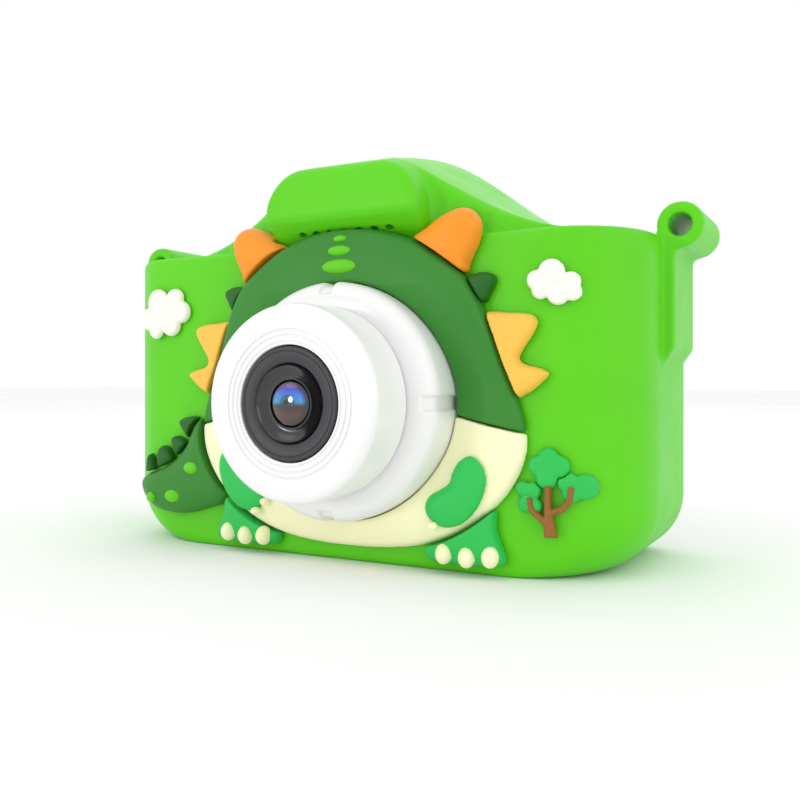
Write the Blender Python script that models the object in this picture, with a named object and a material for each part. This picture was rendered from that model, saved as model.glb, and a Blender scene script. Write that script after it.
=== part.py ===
"""Kids digital camera in a silicone dinosaur sleeve.

Metres, +Z up. The front faces -Y and +X is to the right when facing it. The origin is on
the flat underside, midway across the case's width and depth.
"""

import math

import bmesh
import bpy
from mathutils import Matrix, Vector

MM = 0.001

# ---------------------------------------------------------------- driving dimensions
GAP = 0.3 * MM  # clearance between touching pieces

SLEEVE_WIDTH = 90.0 * MM
SLEEVE_DEPTH = 33.0 * MM
SLEEVE_HEIGHT = 47.0 * MM
SLEEVE_WALL = 2.2 * MM
SLEEVE_REAR_LIP = 2.0 * MM
SLEEVE_RIM = 6.0 * MM  # width of the rim round the rear opening
FRONT_FILLET = 12.4 * MM
REAR_FILLET = 4.0 * MM
LOWER_CORNER = 9.5 * MM
EDGE_ROUND = 1.0 * MM
FILLET_STEPS = 6
CORNER_STEPS = 5

HUMP_NOSE = 4.9 * MM  # how far the hump's front block stands ahead of the front panel
HUMP_RISE = 17.5 * MM  # crest above the case's top
HUMP_NOSE_RISE = 10.2 * MM  # upper front edge of the nose block above the case's top
HUMP_NOSE_LIFT = 3.3 * MM  # lower front edge of the nose block above the case's top
HUMP_NOSE_HALF = 12.85 * MM
HUMP_NOSE_FLAT = 6.4 * MM
HUMP_FOOT_HALF = 37.0 * MM
HUMP_FLARE = 6.5 * MM  # depth over which the nose block widens into the bell
HUMP_BACK_ROUND = 6.0 * MM
HUMP_SWELL = 0.85  # how soon the bell falls away from its crest; smaller is steeper
HUMP_STEPS = 12

SOUND_HOLES = 7
SOUND_HOLE_RADIUS = 0.55 * MM
SOUND_HOLE_PITCH = 2.45 * MM

EYELET_RADIUS = 3.2 * MM
EYELET_HOLE = 1.6 * MM
EYELET_STAND = 2.4 * MM  # axis outside the case's side
EYELET_RISE = 1.2 * MM  # axis above the case's top
EYELET_FRONT = 13.65 * MM  # behind the front panel
EYELET_LENGTH = 14.4 * MM
EYELET_WEB = 1.7 * MM
EYELET_WEB_DROP = 17.0 * MM

LENS_X = 3.3 * MM
LENS_Z = 23.6 * MM
BASE_RING_RADIUS = 17.0 * MM
BASE_RING_STAND = 8.0 * MM  # ahead of the front panel
BASE_RING_EDGE = 1.6 * MM
NOTCH_HALF = 0.9 * MM
NOTCH_LENGTH = 1.8 * MM
NOTCH_DEPTH = 1.2 * MM
NOTCH_CORNER = 0.85 * MM
BARREL_RADIUS = 13.3 * MM
BARREL_STAND = 16.6 * MM
BARREL_NECK = 12.2 * MM
BARREL_BORE = 10.5 * MM
BARREL_EDGE = 1.0 * MM
BEZEL_RADIUS = 7.6 * MM
BEZEL_DEPTH = 3.5 * MM
BEZEL_FLAT_INNER = 5.35 * MM
FRONT_LENS_RADIUS = 3.05 * MM
MODULE_RADIUS = 7.2 * MM
MODULE_LENGTH = 11.0 * MM
LENS_SEGMENTS = 40

SHELL_WALL = 1.6 * MM
SHELL_SPLIT = 2.0 * MM  # y of the joint between front and rear shells
BOSS_RADIUS = 2.3 * MM
BOSS_INSET_X = 10.0 * MM
BOSS_LOW = 8.0 * MM
BOSS_HIGH_DROP = 9.5 * MM
SCREW_RADIUS = 1.0 * MM
SCREW_HEAD = 1.8 * MM
SCREW_HEAD_HEIGHT = 0.8 * MM
SCREW_LENGTH = 15.0 * MM

WINDOW_SIDE_MARGIN = 13.0 * MM  # from the case's right side
WINDOW_PAD_MARGIN = 2.3 * MM  # from the button pad
WINDOW_END_MARGIN = 6.5 * MM  # from the case's top and bottom
WINDOW_CORNER = 2.0 * MM
WINDOW_THICK = 1.1 * MM
DISPLAY_THICK = 2.4 * MM
DISPLAY_MARGIN = 1.0 * MM

PAD_INSET = 16.5 * MM  # from the case's left side
PAD_REACH = 7.4 * MM
OK_RADIUS = 3.0 * MM
ARROW_LONG = 6.6 * MM
ARROW_SHORT = 4.2 * MM
NAV_TRAVEL = 0.6 * MM
NAV_PROUD = 0.5 * MM  # still proud of the shell when pressed
NAV_EDGE = 0.4 * MM
NAV_FLANGE = 0.7 * MM
NAV_FLANGE_THICK = 0.8 * MM
REAR_LENS_RADIUS = 2.6 * MM
REAR_LENS_DROP = 9.4 * MM  # below the case's top
REAR_LENS_TO_PAD = 16.1 * MM
REAR_LENS_THICK = 2.4 * MM
REAR_LENS_CROWN = 0.3 * MM

SHUTTER_INSET = 12.0 * MM  # from the case's left side
SHUTTER_RADIUS = 4.0 * MM
POWER_MARGIN = 0.5 * MM  # between the button's flange and the shell's inner side
POWER_RADIUS = 2.6 * MM
TOP_BUTTON_Y = -4.0 * MM
TOP_BUTTON_TRAVEL = 0.8 * MM
TOP_BUTTON_PROUD = 0.6 * MM  # still proud of the sleeve when pressed
TOP_BUTTON_EDGE = 0.5 * MM
TOP_BUTTON_FLANGE = 0.8 * MM
TOP_BUTTON_FLANGE_THICK = 0.8 * MM

BOARD_Y = 8.1 * MM
BOARD_THICK = 1.2 * MM
BOARD_LOW = 11.5 * MM
BOARD_DROP = 12.4 * MM  # upper edge below the case's top
USB_WIDTH = 9.0 * MM
USB_THICK = 3.2 * MM
USB_DEPTH = 7.4 * MM
USB_Z = 29.0 * MM
CARD_WIDTH = 11.0 * MM
CARD_LENGTH = 15.0 * MM
CARD_THICK = 0.8 * MM
CARD_STAND = 0.7 * MM
CARD_Z = 18.0 * MM
SOCKET_WALL = 0.6 * MM
USB_WALL = 0.5 * MM
PORT_MARGIN = 1.6 * MM
BATTERY_THICK = 6.0 * MM
SPEAKER_RADIUS = 5.4 * MM
SPEAKER_THICK = 3.3 * MM

RELIEF_THICK = 2.2 * MM
THIN_RELIEF = 1.0 * MM
LEAF_THICK = 0.7 * MM
TRUNK_THICK = 0.6 * MM
SPIKE_THICK = 1.6 * MM
HORN_THICK = 3.0 * MM
FIN_THICK = 2.0 * MM
FOOT_THICK = 2.6 * MM
ARM_THICK = 0.9 * MM
TOE_THICK = 1.3 * MM
HOOD_THICK = 3.2 * MM
BELLY_THICK = 2.8 * MM
SPOT_THICK = 0.6 * MM
RELIEF_BEVEL = 0.45 * MM

FRONT = -SLEEVE_DEPTH / 2  # y of the front panel
REAR = SLEEVE_DEPTH / 2
SHELL_INSET = SLEEVE_WALL + GAP
SHELL_INSIDE = SHELL_INSET + SHELL_WALL
SHELL_FRONT = FRONT + SHELL_INSET
SHELL_REAR = REAR - SLEEVE_REAR_LIP - GAP
SHELL_TOP = SLEEVE_HEIGHT - SHELL_INSET
HUMP_TOP = SLEEVE_HEIGHT + HUMP_RISE
HUMP_NOSE_TOP = SLEEVE_HEIGHT + HUMP_NOSE_RISE
HUMP_NOSE_LOW = SLEEVE_HEIGHT + HUMP_NOSE_LIFT
BOARD_HIGH = SLEEVE_HEIGHT - BOARD_DROP
SHUTTER_X = SHUTTER_INSET - SLEEVE_WIDTH / 2
POWER_X = SLEEVE_WIDTH / 2 - SHELL_INSIDE - POWER_MARGIN - TOP_BUTTON_FLANGE - POWER_RADIUS
NAV_STAND = NAV_TRAVEL + NAV_PROUD
TOP_BUTTON_STAND = TOP_BUTTON_TRAVEL + TOP_BUTTON_PROUD
PAD_X = PAD_INSET - SLEEVE_WIDTH / 2
REAR_LENS_Z = SLEEVE_HEIGHT - REAR_LENS_DROP
PAD_Z = REAR_LENS_Z - REAR_LENS_TO_PAD
WINDOW_LEFT = PAD_X + PAD_REACH + ARROW_SHORT / 2 + NAV_FLANGE + WINDOW_PAD_MARGIN
WINDOW_RIGHT = SLEEVE_WIDTH / 2 - WINDOW_SIDE_MARGIN
TOP_CONTROLS = (("shutter", SHUTTER_X, SHUTTER_RADIUS), ("power", POWER_X, POWER_RADIUS))

# ---------------------------------------------------------------- scene and materials
for old in list(bpy.data.objects):
    bpy.data.objects.remove(old)


def material(name, colour, roughness, metallic=0.0, transmission=0.0):
    made = bpy.data.materials.new(name)
    made.use_nodes = True
    shader = made.node_tree.nodes["Principled BSDF"]
    shader.inputs["Base Color"].default_value = (*colour, 1.0)
    shader.inputs["Roughness"].default_value = roughness
    shader.inputs["Metallic"].default_value = metallic
    shader.inputs["Transmission Weight"].default_value = transmission
    return made


GREEN = material("green_silicone", (0.145, 0.63, 0.026), 0.5)
DARK_GREEN = material("dark_green_silicone", (0.07, 0.3, 0.06), 0.5)
SPIKE_GREEN = material("spike_green_silicone", (0.024, 0.145, 0.02), 0.5)
MINT = material("mint_silicone", (0.055, 0.57, 0.13), 0.5)
CREAM = material("cream_silicone", (0.98, 0.97, 0.66), 0.5)
ORANGE = material("orange_silicone", (0.95, 0.35, 0.04), 0.5)
YELLOW = material("yellow_silicone", (0.97, 0.6, 0.14), 0.5)
CLOUD = material("cloud_silicone", (0.98, 0.93, 0.86), 0.5)
BROWN = material("brown_silicone", (0.31, 0.14, 0.036), 0.5)
WHITE = material("white_plastic", (0.86, 0.86, 0.86), 0.25)
DARK = material("dark_bezel", (0.07, 0.07, 0.075), 0.35)
BLACK = material("black_plastic", (0.02, 0.02, 0.02), 0.4)
GLASS = material("lens_glass", (0.05, 0.04, 0.08), 0.05, 0.0, 0.4)
SCREEN = material("screen", (0.01, 0.01, 0.012), 0.08)
STEEL = material("steel", (0.6, 0.6, 0.62), 0.3, 1.0)
BOARD = material("circuit_board", (0.02, 0.16, 0.06), 0.5)
CELL = material("battery_foil", (0.5, 0.52, 0.55), 0.35, 0.6)


# ---------------------------------------------------------------- modelling helpers
def add_object(name, mesh, paint):
    mesh.materials.append(paint)
    made = bpy.data.objects.new(name, mesh)
    bpy.context.scene.collection.objects.link(made)
    mesh.shade_smooth()
    mesh.set_sharp_from_angle(angle=math.radians(35))
    return made


def set_origin(made, x, y, z):
    """Puts a moving piece's origin on its joint's axis and leaves its shape in place."""
    point = Vector((x, y, z))
    made.data.transform(Matrix.Translation(-point))
    made.location = point


def solid_from(name, grid, paint):
    """A closed solid from a bmesh, with its faces turned outwards."""
    bmesh.ops.recalc_face_normals(grid, faces=grid.faces)
    mesh = bpy.data.meshes.new(name)
    grid.to_mesh(mesh)
    grid.free()
    return add_object(name, mesh, paint)


def loft(name, rings, paint):
    """A solid through rings that all have the same number of points."""
    grid = bmesh.new()
    loops = [[grid.verts.new(point) for point in ring] for ring in rings]
    count = len(loops[0])
    for near, far in zip(loops[:-1], loops[1:]):
        for i in range(count):
            j = (i + 1) % count
            grid.faces.new((near[i], near[j], far[j], far[i]))
    grid.faces.new(loops[0])
    grid.faces.new(loops[-1])
    return solid_from(name, grid, paint)


def prism_y(name, outline, y_near, y_far, paint, bevel=0.0):
    """An outline of (x, z) points pushed along Y; bevel rounds its edge at y_near."""
    rings = []
    if bevel:
        rings.append([(x, y_near, z) for x, z in inset(outline, bevel)])
        rings.append([(x, y_near + 0.3 * bevel, z) for x, z in inset(outline, 0.3 * bevel)])
        rings.append([(x, y_near + bevel, z) for x, z in outline])
    else:
        rings.append([(x, y_near, z) for x, z in outline])
    rings.append([(x, y_far, z) for x, z in outline])
    return loft(name, rings, paint)


def inset(outline, amount):
    """The outline moved inwards; it must run anticlockwise in (x, z)."""
    moved = []
    count = len(outline)
    for i in range(count):
        (ax, az), (bx, bz) = outline[i - 1], outline[(i + 1) % count]
        length = math.hypot(bx - ax, bz - az)
        x, z = outline[i]
        moved.append((x - (bz - az) / length * amount, z + (bx - ax) / length * amount))
    return moved


def circle(x, z, radius, segments):
    turns = [2 * math.pi * k / segments for k in range(segments)]
    return [(x + radius * math.cos(a), z + radius * math.sin(a)) for a in turns]


def rounded_rectangle(x0, z0, x1, z1, radius, steps=3):
    """Anticlockwise outline with round corners."""
    centres = ((x1 - radius, z1 - radius), (x0 + radius, z1 - radius))
    centres += ((x0 + radius, z0 + radius), (x1 - radius, z0 + radius))
    outline = []
    for quarter, (cx, cz) in enumerate(centres):
        for k in range(steps + 1):
            a = math.pi / 2 * (quarter + k / steps)
            outline.append((cx + radius * math.cos(a), cz + radius * math.sin(a)))
    return outline


def smooth_outline(points, steps=3):
    """A closed Catmull-Rom curve through the points, given in millimetres."""
    count = len(points)
    outline = []
    for i in range(count):
        p0, p1 = points[i - 1], points[i]
        p2, p3 = points[(i + 1) % count], points[(i + 2) % count]
        for k in range(steps):
            t = k / steps
            outline.append(
                tuple(
                    MM
                    * 0.5
                    * (
                        2 * b
                        + (c - a) * t
                        + (2 * a - 5 * b + 4 * c - d) * t**2
                        + (3 * b - a - 3 * c + d) * t**3
                    )
                    for a, b, c, d in zip(p0, p1, p2, p3)
                )
            )
    return anticlockwise(outline)


def anticlockwise(outline):
    area = sum(
        outline[i - 1][0] * outline[i][1] - outline[i][0] * outline[i - 1][1]
        for i in range(len(outline))
    )
    return outline if area > 0 else outline[::-1]


def on_face(points, side=1):
    """Points given as (distance from the lens axis, height), placed on one side of it."""
    return [(LENS_X / MM + side * dx, z) for dx, z in points]


def turned(name, profile, paint, x=LENS_X, z=LENS_Z, segments=LENS_SEGMENTS):
    """A solid of revolution about a Y axis, from a closed profile of (radius, y)."""
    grid = bmesh.new()
    rings = []
    for radius, y in profile:
        if radius == 0:
            rings.append([grid.verts.new((x, y, z))])
        else:
            rings.append([grid.verts.new((px, y, pz)) for px, pz in circle(x, z, radius, segments)])
    closed = 0 if profile[0][0] == 0 else len(rings)
    pairs = list(zip(rings[:-1], rings[1:]))
    if closed:
        pairs.append((rings[-1], rings[0]))
    for near, far in pairs:
        for i in range(segments):
            j = (i + 1) % segments
            if len(near) == 1:
                grid.faces.new((near[0], far[j], far[i]))
            elif len(far) == 1:
                grid.faces.new((near[i], near[j], far[0]))
            else:
                grid.faces.new((near[i], near[j], far[j], far[i]))
    return solid_from(name, grid, paint)


def block(name, low, high, paint):
    outline = [(low[0], low[2]), (high[0], low[2]), (high[0], high[2]), (low[0], high[2])]
    return prism_y(name, outline, low[1], high[1], paint)


def pillar(name, x, y, radius, z0, z1, paint, segments=20):
    """A cylinder along Z."""
    rings = [[(px, py, z) for px, py in circle(x, y, radius, segments)] for z in (z0, z1)]
    return loft(name, rings, paint)


def boolean(target, other, operation):
    """Adds other to target, or cuts it away, and keeps other as a hidden guide."""
    step = target.modifiers.new(operation.lower(), "BOOLEAN")
    step.operation = operation
    step.object = other
    step.solver = "EXACT"
    other.hide_render = True
    other.display_type = "WIRE"
    other.hide_viewport = False


def cut(target, *cutters):
    for cutter in cutters:
        boolean(target, cutter, "DIFFERENCE")


def join(target, *pieces):
    for piece in pieces:
        boolean(target, piece, "UNION")


# ---------------------------------------------------------------- case form
def case_section(y, half, low, high, corner, top_corner):
    """One upright section of the case, with large lower corners."""
    outline = []
    quarters = (
        (half - top_corner, high - top_corner, top_corner, 0, 2),
        (-half + top_corner, high - top_corner, top_corner, 1, 2),
        (-half + corner, low + corner, corner, 2, CORNER_STEPS),
        (half - corner, low + corner, corner, 3, CORNER_STEPS),
    )
    for cx, cz, radius, quarter, steps in quarters:
        for k in range(steps + 1):
            a = math.pi / 2 * (quarter + k / steps)
            outline.append((cx + radius * math.cos(a), y, cz + radius * math.sin(a)))
    return outline


def case_rings(offset, y_end=None):
    """Sections of the case form, moved inwards by offset, up to y_end where given."""
    front = FRONT + offset
    rear = REAR - offset
    plan = max(FRONT_FILLET - offset, EDGE_ROUND)
    back = max(REAR_FILLET - offset, 0.5 * EDGE_ROUND)
    if y_end is not None and y_end > rear - back:
        rear = y_end  # a form that stops behind the lip keeps its rear fillet next to it
    edge = 0.8 * EDGE_ROUND
    stations = []
    for k in range(FILLET_STEPS + 1):
        a = math.pi / 2 * k / FILLET_STEPS
        depth = plan * (1 - math.cos(a))
        lift = edge - math.sqrt(max(edge**2 - max(edge - depth, 0) ** 2, 0))
        stations.append((front + depth, plan * (1 - math.sin(a)), lift))
    for k in range(4):
        a = math.pi / 2 * k / 3
        shrink = back * (1 - math.cos(a))
        stations.append((rear - back * (1 - math.sin(a)), shrink, shrink))
    rings = []
    for y, side, lift in stations:
        if y_end is not None and y >= y_end:
            break
        rings.append(case_ring(offset, y, side, lift))
        last = (side, lift)
    if y_end is not None:
        rings.append(case_ring(offset, y_end, *last))
    return rings


def case_front(offset, x):
    """y of the case form's front at distance x from its middle."""
    plan = FRONT_FILLET - offset
    past = x - (SLEEVE_WIDTH / 2 - offset - plan)
    return FRONT + offset + (plan - math.sqrt(plan**2 - past**2) if past > 0 else 0.0)


def case_ring(offset, y, side, lift):
    half = SLEEVE_WIDTH / 2 - offset - side
    corner = max(LOWER_CORNER - offset, EDGE_ROUND)
    low, high = offset + lift, SLEEVE_HEIGHT - offset - lift
    return case_section(y, half, low, high, corner, 0.8 * EDGE_ROUND)


# ---------------------------------------------------------------- silicone sleeve
def hump_crest(y):
    """Height of the hump's crest at depth y."""
    start, peak = FRONT - HUMP_NOSE, REAR - HUMP_BACK_ROUND
    if y <= peak:
        run = (y - start) / (peak - start)
        return HUMP_TOP - (HUMP_TOP - HUMP_NOSE_TOP) * (1 - run) ** 1.4
    fall = min((y - peak) / HUMP_BACK_ROUND, 1.0)
    return SLEEVE_HEIGHT + (HUMP_TOP - SLEEVE_HEIGHT) * math.sqrt(1 - 0.9 * fall**2)


def hump_half(y):
    """Half of one hump section: (distance from the middle, height), crest first."""
    top = hump_crest(y)
    low = HUMP_NOSE_LOW
    flare = min(max((y - FRONT) / HUMP_FLARE, 0.0), 1.0)
    flare = math.sin(math.pi / 2 * flare)
    half = []
    for k in range(HUMP_STEPS + 1):
        t = k / HUMP_STEPS
        if t < 0.25:
            nose = (HUMP_NOSE_FLAT * t / 0.25, top)
        else:
            a = math.pi / 2 * (t - 0.25) / 0.75
            reach = (HUMP_NOSE_HALF - HUMP_NOSE_FLAT) * math.sin(a)
            nose = (HUMP_NOSE_FLAT + reach, low + (top - low) * math.cos(a))
        swell = 0.5 * (1 + math.cos(math.pi * t**HUMP_SWELL))
        foot = SLEEVE_HEIGHT - 0.6 * MM
        bell = (HUMP_FOOT_HALF * t, foot + (top - foot) * swell)
        half.append(tuple(n + (b - n) * flare for n, b in zip(nose, bell)))
    return half


def hump_ring(y):
    ahead = min((FRONT - y) / HUMP_NOSE, 1.0)
    if ahead > 0:
        base = SLEEVE_HEIGHT - 0.2 * MM + (HUMP_NOSE_LOW - SLEEVE_HEIGHT) * ahead
    else:
        base = SLEEVE_HEIGHT - 1.2 * MM
    half = [(dx, max(z, base + 0.05 * MM)) for dx, z in hump_half(y)]
    right = [(LENS_X + dx, y, z) for dx, z in half]
    left = [(LENS_X - dx, y, z) for dx, z in half[1:]]
    reach = half[-1][0] - 0.4 * MM
    return left[::-1] + right + [(LENS_X + reach, y, base), (LENS_X - reach, y, base)]


def hump():
    """The raised viewfinder shape: a nose block that flares into a bell."""
    nose = [FRONT - HUMP_NOSE + k * MM for k in (0.0, 1.6, 3.3)]
    flare = [FRONT + HUMP_FLARE * k / 5 for k in range(1, 6)]
    back_start = REAR - HUMP_BACK_ROUND
    crest = [FRONT + HUMP_FLARE + (back_start - FRONT - HUMP_FLARE) * k / 3 for k in (1, 2, 3)]
    turns = [math.pi / 2 * k / 4 for k in (1, 2, 3, 4)]
    back = [back_start + HUMP_BACK_ROUND * math.sin(a) - 0.2 * MM for a in turns]
    stations = nose + [FRONT - 0.1 * MM, FRONT + 0.1 * MM] + flare + crest + back
    return loft("hump_form", [hump_ring(y) for y in stations], GREEN)


def eyelet(side):
    """A strap eyelet on its web, running front to back on one upper corner."""
    cx = SLEEVE_WIDTH / 2 + EYELET_STAND
    cz = SLEEVE_HEIGHT + EYELET_RISE
    web = SLEEVE_WIDTH / 2 + EYELET_WEB
    start = -math.pi + math.acos((cx - web) / EYELET_RADIUS)
    inner = SLEEVE_WIDTH / 2 - 1.5 * MM
    arc = [start + (1.12 * math.pi - start) * k / 14 for k in range(15)]
    outline = [(inner, cz - EYELET_WEB_DROP - 4.6 * MM), (web, cz - EYELET_WEB_DROP)]
    outline += [(cx + EYELET_RADIUS * math.cos(a), cz + EYELET_RADIUS * math.sin(a)) for a in arc]
    outline += [(inner, cz - 0.55 * EYELET_RADIUS - 1.0 * MM)]
    outline = anticlockwise([(side * x, z) for x, z in outline])
    y0 = FRONT + EYELET_FRONT
    name = "eyelet_form_right" if side > 0 else "eyelet_form_left"
    body = prism_y(name, outline, y0, y0 + EYELET_LENGTH, GREEN)
    hole = circle(side * cx, cz, EYELET_HOLE, 14)
    bore = prism_y(name + "_hole", hole, y0 - MM, y0 + EYELET_LENGTH + MM, GREEN)
    return body, bore


def port_window(name, inner, outer, margin):
    """A rounded slot through the left side, round the USB port and the card."""
    y0, y1 = BOARD_Y - USB_THICK - margin, BOARD_Y + margin
    z0 = CARD_Z - CARD_WIDTH / 2 - margin
    z1 = USB_Z + USB_WIDTH / 2 + margin
    outline = rounded_rectangle(y0, z0, y1, z1, 0.2 * MM + 0.7 * margin)
    rings = [[(x, y, z) for y, z in outline] for x in (-outer, -inner)]
    return loft(name, rings, GREEN)


def rear_opening(name, margin, y0, y1):
    half = SLEEVE_WIDTH / 2 - margin
    outline = rounded_rectangle(-half, margin, half, SLEEVE_HEIGHT - margin, 4 * MM)
    return prism_y(name, outline, y0, y1, GREEN)


def silicone_sleeve():
    sleeve = loft("silicone_sleeve", case_rings(0.0), GREEN)
    left, left_hole = eyelet(-1)
    right, right_hole = eyelet(1)
    join(sleeve, hump(), left, right)
    cavity = loft("sleeve_cavity", case_rings(SLEEVE_WALL, REAR - SLEEVE_REAR_LIP), GREEN)
    opening = rear_opening("sleeve_opening", SLEEVE_RIM, REAR - SLEEVE_REAR_LIP - MM, REAR + MM)
    lens_hole = prism_y(
        "sleeve_lens_hole",
        circle(LENS_X, LENS_Z, BASE_RING_RADIUS + GAP, LENS_SEGMENTS),
        FRONT - MM,
        FRONT + SLEEVE_WALL + MM,
        GREEN,
    )
    ports = port_window(
        "sleeve_port_window",
        SLEEVE_WIDTH / 2 - SLEEVE_WALL - MM,
        SLEEVE_WIDTH / 2 + MM,
        PORT_MARGIN,
    )
    chamber_low = SLEEVE_HEIGHT - SLEEVE_WALL - 2 * MM
    chamber_top = HUMP_NOSE_TOP - 2.6 * MM
    chamber = block(
        "speaker_chamber",
        (LENS_X - 9 * MM, FRONT + SLEEVE_WALL + 0.4 * MM, chamber_low),
        (LENS_X + 9 * MM, FRONT + 15 * MM, chamber_top),
        GREEN,
    )
    passage = block(
        "sound_passage",
        (LENS_X - 8.4 * MM, FRONT - 2.4 * MM, HUMP_NOSE_LOW + 0.6 * MM),
        (LENS_X + 8.4 * MM, FRONT + SLEEVE_WALL + MM, chamber_top - 0.4 * MM),
        GREEN,
    )
    cut(sleeve, cavity, opening, lens_hole, ports, chamber, passage, left_hole, right_hole)
    for k in range(SOUND_HOLES):
        x = LENS_X + (k - (SOUND_HOLES - 1) / 2) * SOUND_HOLE_PITCH
        y = FRONT - 1.5 * MM
        z0, z1 = SLEEVE_HEIGHT - MM, HUMP_NOSE_LOW + MM
        hole = pillar(f"sound_hole_{k + 1}", x, y, SOUND_HOLE_RADIUS, z0, z1, GREEN, 8)
        cut(sleeve, hole)
    for name, x, radius in TOP_CONTROLS:
        well = pillar(
            name + "_well",
            x,
            TOP_BUTTON_Y,
            radius + GAP,
            SHELL_TOP - MM,
            SLEEVE_HEIGHT + 6 * MM,
            GREEN,
        )
        cut(sleeve, well)
    return sleeve


# ---------------------------------------------------------------- relief
EGG_UPPER = (
    (0, 48.6),
    (5.5, 48.0),
    (11, 46.3),
    (15.5, 43.5),
    (18.6, 40.7),
    (20.8, 37.2),
    (22.4, 33.3),
    (24.0, 29.0),
    (25.8, 24.8),
    (27.0, 21.0),
)
EGG_LOWER = (
    (27.2, 17.5),
    (26.1, 14.0),
    (23.8, 10.6),
    (20.4, 7.6),
    (16.2, 5.1),
    (11.5, 3.5),
    (6.0, 2.7),
    (0, 2.5),
)
HORN = ((18.2, 41.2), (19.3, 43.0), (20.5, 45.5), (20.9, 47.8), (19.8, 49.7))
HORN += ((18.0, 50.4), (15.6, 49.8), (13.0, 48.3), (10.2, 46.2), (12.5, 43.0))
CHEEK_SPIKE = ((17.5, 40.6), (20.4, 41.4), (22.1, 41.2), (23.0, 40.3))
CHEEK_SPIKE += ((22.3, 38.6), (21.0, 37.0), (18.0, 38.0))
SIDE_FIN = ((20.5, 35.5), (25.2, 35.7), (27.8, 35.4), (28.7, 34.4), (28.1, 32.8))
SIDE_FIN += ((26.8, 30.9), (26.2, 29.6), (27.0, 28.8), (29.1, 28.25), (30.2, 27.6))
SIDE_FIN += ((29.4, 26.5), (27.3, 24.9), (24.0, 24.0), (21.0, 30.0))
ARM = ((20.2, 16.6), (21.8, 15.4), (22.4, 13.2), (21.7, 10.6), (20.3, 8.5))
ARM += ((18.4, 7.1), (16.0, 6.7), (14.1, 7.7), (13.4, 9.2), (14.0, 10.8))
ARM += ((15.6, 11.8), (17.0, 12.8), (17.5, 14.2), (18.5, 15.8))
FOOT = ((22.6, 9.4), (23.0, 6.5), (23.9, 4.0), (24.3, 2.2), (22.5, 1.5), (18.2, 1.3))
FOOT += ((13.8, 1.5), (12.4, 2.4), (12.6, 4.2), (13.0, 6.0), (18.0, 9.0))
TAIL = ((-21.5, 20.5), (-25.4, 20.0), (-27.7, 16.1), (-30.4, 13.5), (-33.7, 11.9))
TAIL += ((-36.9, 11.0), (-38.3, 10.0), (-38.4, 8.8), (-37.3, 7.2), (-34.7, 5.6))
TAIL += ((-31.4, 4.9), (-27.7, 5.0), (-23.1, 6.2), (-19.2, 7.9), (-17.0, 14.0))
# The clouds and tree are drawn as (x, height) on a case this wide, and follow its sides. The
# tail's root stays with the body, and its tip follows the case's side.
DRAWN_HALF_WIDTH = 45.0
TAIL_ROOT = -19.0
TAIL_TIP = -38.4
TAIL_SPIKES = (
    ((-25.4, 20.6), (-27.7, 20.7), (-29.1, 20.1), (-28.8, 18.9), (-27.0, 17.0), (-26.0, 18.0)),
    ((-27.6, 16.4), (-29.5, 17.5), (-30.8, 17.3), (-30.8, 16.2), (-29.6, 14.1), (-28.6, 14.8)),
    ((-30.5, 13.6), (-31.5, 15.4), (-32.9, 15.9), (-33.9, 14.8), (-33.7, 12.2), (-32.0, 12.4)),
    ((-34.7, 11.7), (-35.3, 13.8), (-36.1, 14.4), (-36.8, 13.4), (-37.0, 11.2), (-36.0, 11.0)),
)
TAIL_SPOTS = ((-25.6, 12.6, 1.5, 1.05), (-29.5, 7.9, 1.6, 1.1), (-34.2, 7.4, 1.0, 0.9))
FOREHEAD_SPOTS = ((47.1, 1.2, 0.5), (45.35, 2.0, 0.7), (43.1, 2.95, 0.95))
TOES = ((21.4, 3.2), (18.0, 2.9), (14.6, 3.1))
RIGHT_CLOUD = ((33.8, 40.8, 1.8), (31.8, 39.9, 1.35), (36.3, 39.6, 1.25))
RIGHT_CLOUD += ((36.5, 38.2, 1.2), (34.7, 38.0, 1.5), (32.4, 38.6, 1.3))
LEFT_CLOUD = ((-34.4, 39.4, 2.4), (-30.5, 40.0, 1.7), (-29.2, 37.8, 1.8))
LEFT_CLOUD += ((-31.4, 35.8, 1.9), (-34.8, 35.2, 1.7), (-37.2, 36.9, 1.9))
TRUNK = ((33.0, 6.1), (34.7, 6.15), (34.1, 9.0), (35.5, 9.5), (36.7, 11.0), (36.9, 12.9), (36.1, 12.9))
TRUNK += ((35.9, 11.3), (35.1, 10.3), (33.95, 9.9), (33.9, 12.9), (33.1, 12.9), (33.0, 8.8), (31.6, 9.9))
TRUNK += ((31.3, 11.2), (30.6, 11.2), (30.9, 9.4), (32.9, 7.7))
TOP_LEAVES = ((33.4, 16.6, 1.25), (32.2, 15.8, 1.2), (34.6, 15.7, 1.3), (33.0, 14.4, 1.3))
RIGHT_LEAVES = ((36.2, 14.0, 1.1), (38.0, 12.9, 1.6), (36.6, 12.1, 1.0))
LEFT_LEAVES = ((30.0, 12.5, 0.9), (31.4, 12.0, 1.1), (30.5, 10.7, 0.9), (32.0, 10.6, 0.7))


def at_side(rows, side):
    """Rows that start with an x drawn on the reference case, moved with this case's side."""
    shift = side * (SLEEVE_WIDTH / 2 / MM - DRAWN_HALF_WIDTH)
    return [(row[0] + shift, *row[1:]) for row in rows]


def along_tail(rows):
    """Rows of the tail, its spikes or its spots, stretched between its root and its tip."""
    shift = DRAWN_HALF_WIDTH - SLEEVE_WIDTH / 2 / MM
    shares = [min(max((TAIL_ROOT - row[0]) / (TAIL_ROOT - TAIL_TIP), 0.0), 1.0) for row in rows]
    return [(row[0] + shift * share, *row[1:]) for row, share in zip(rows, shares)]


def tail_outline():
    return smooth_outline(along_tail(TAIL), 2)


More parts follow.
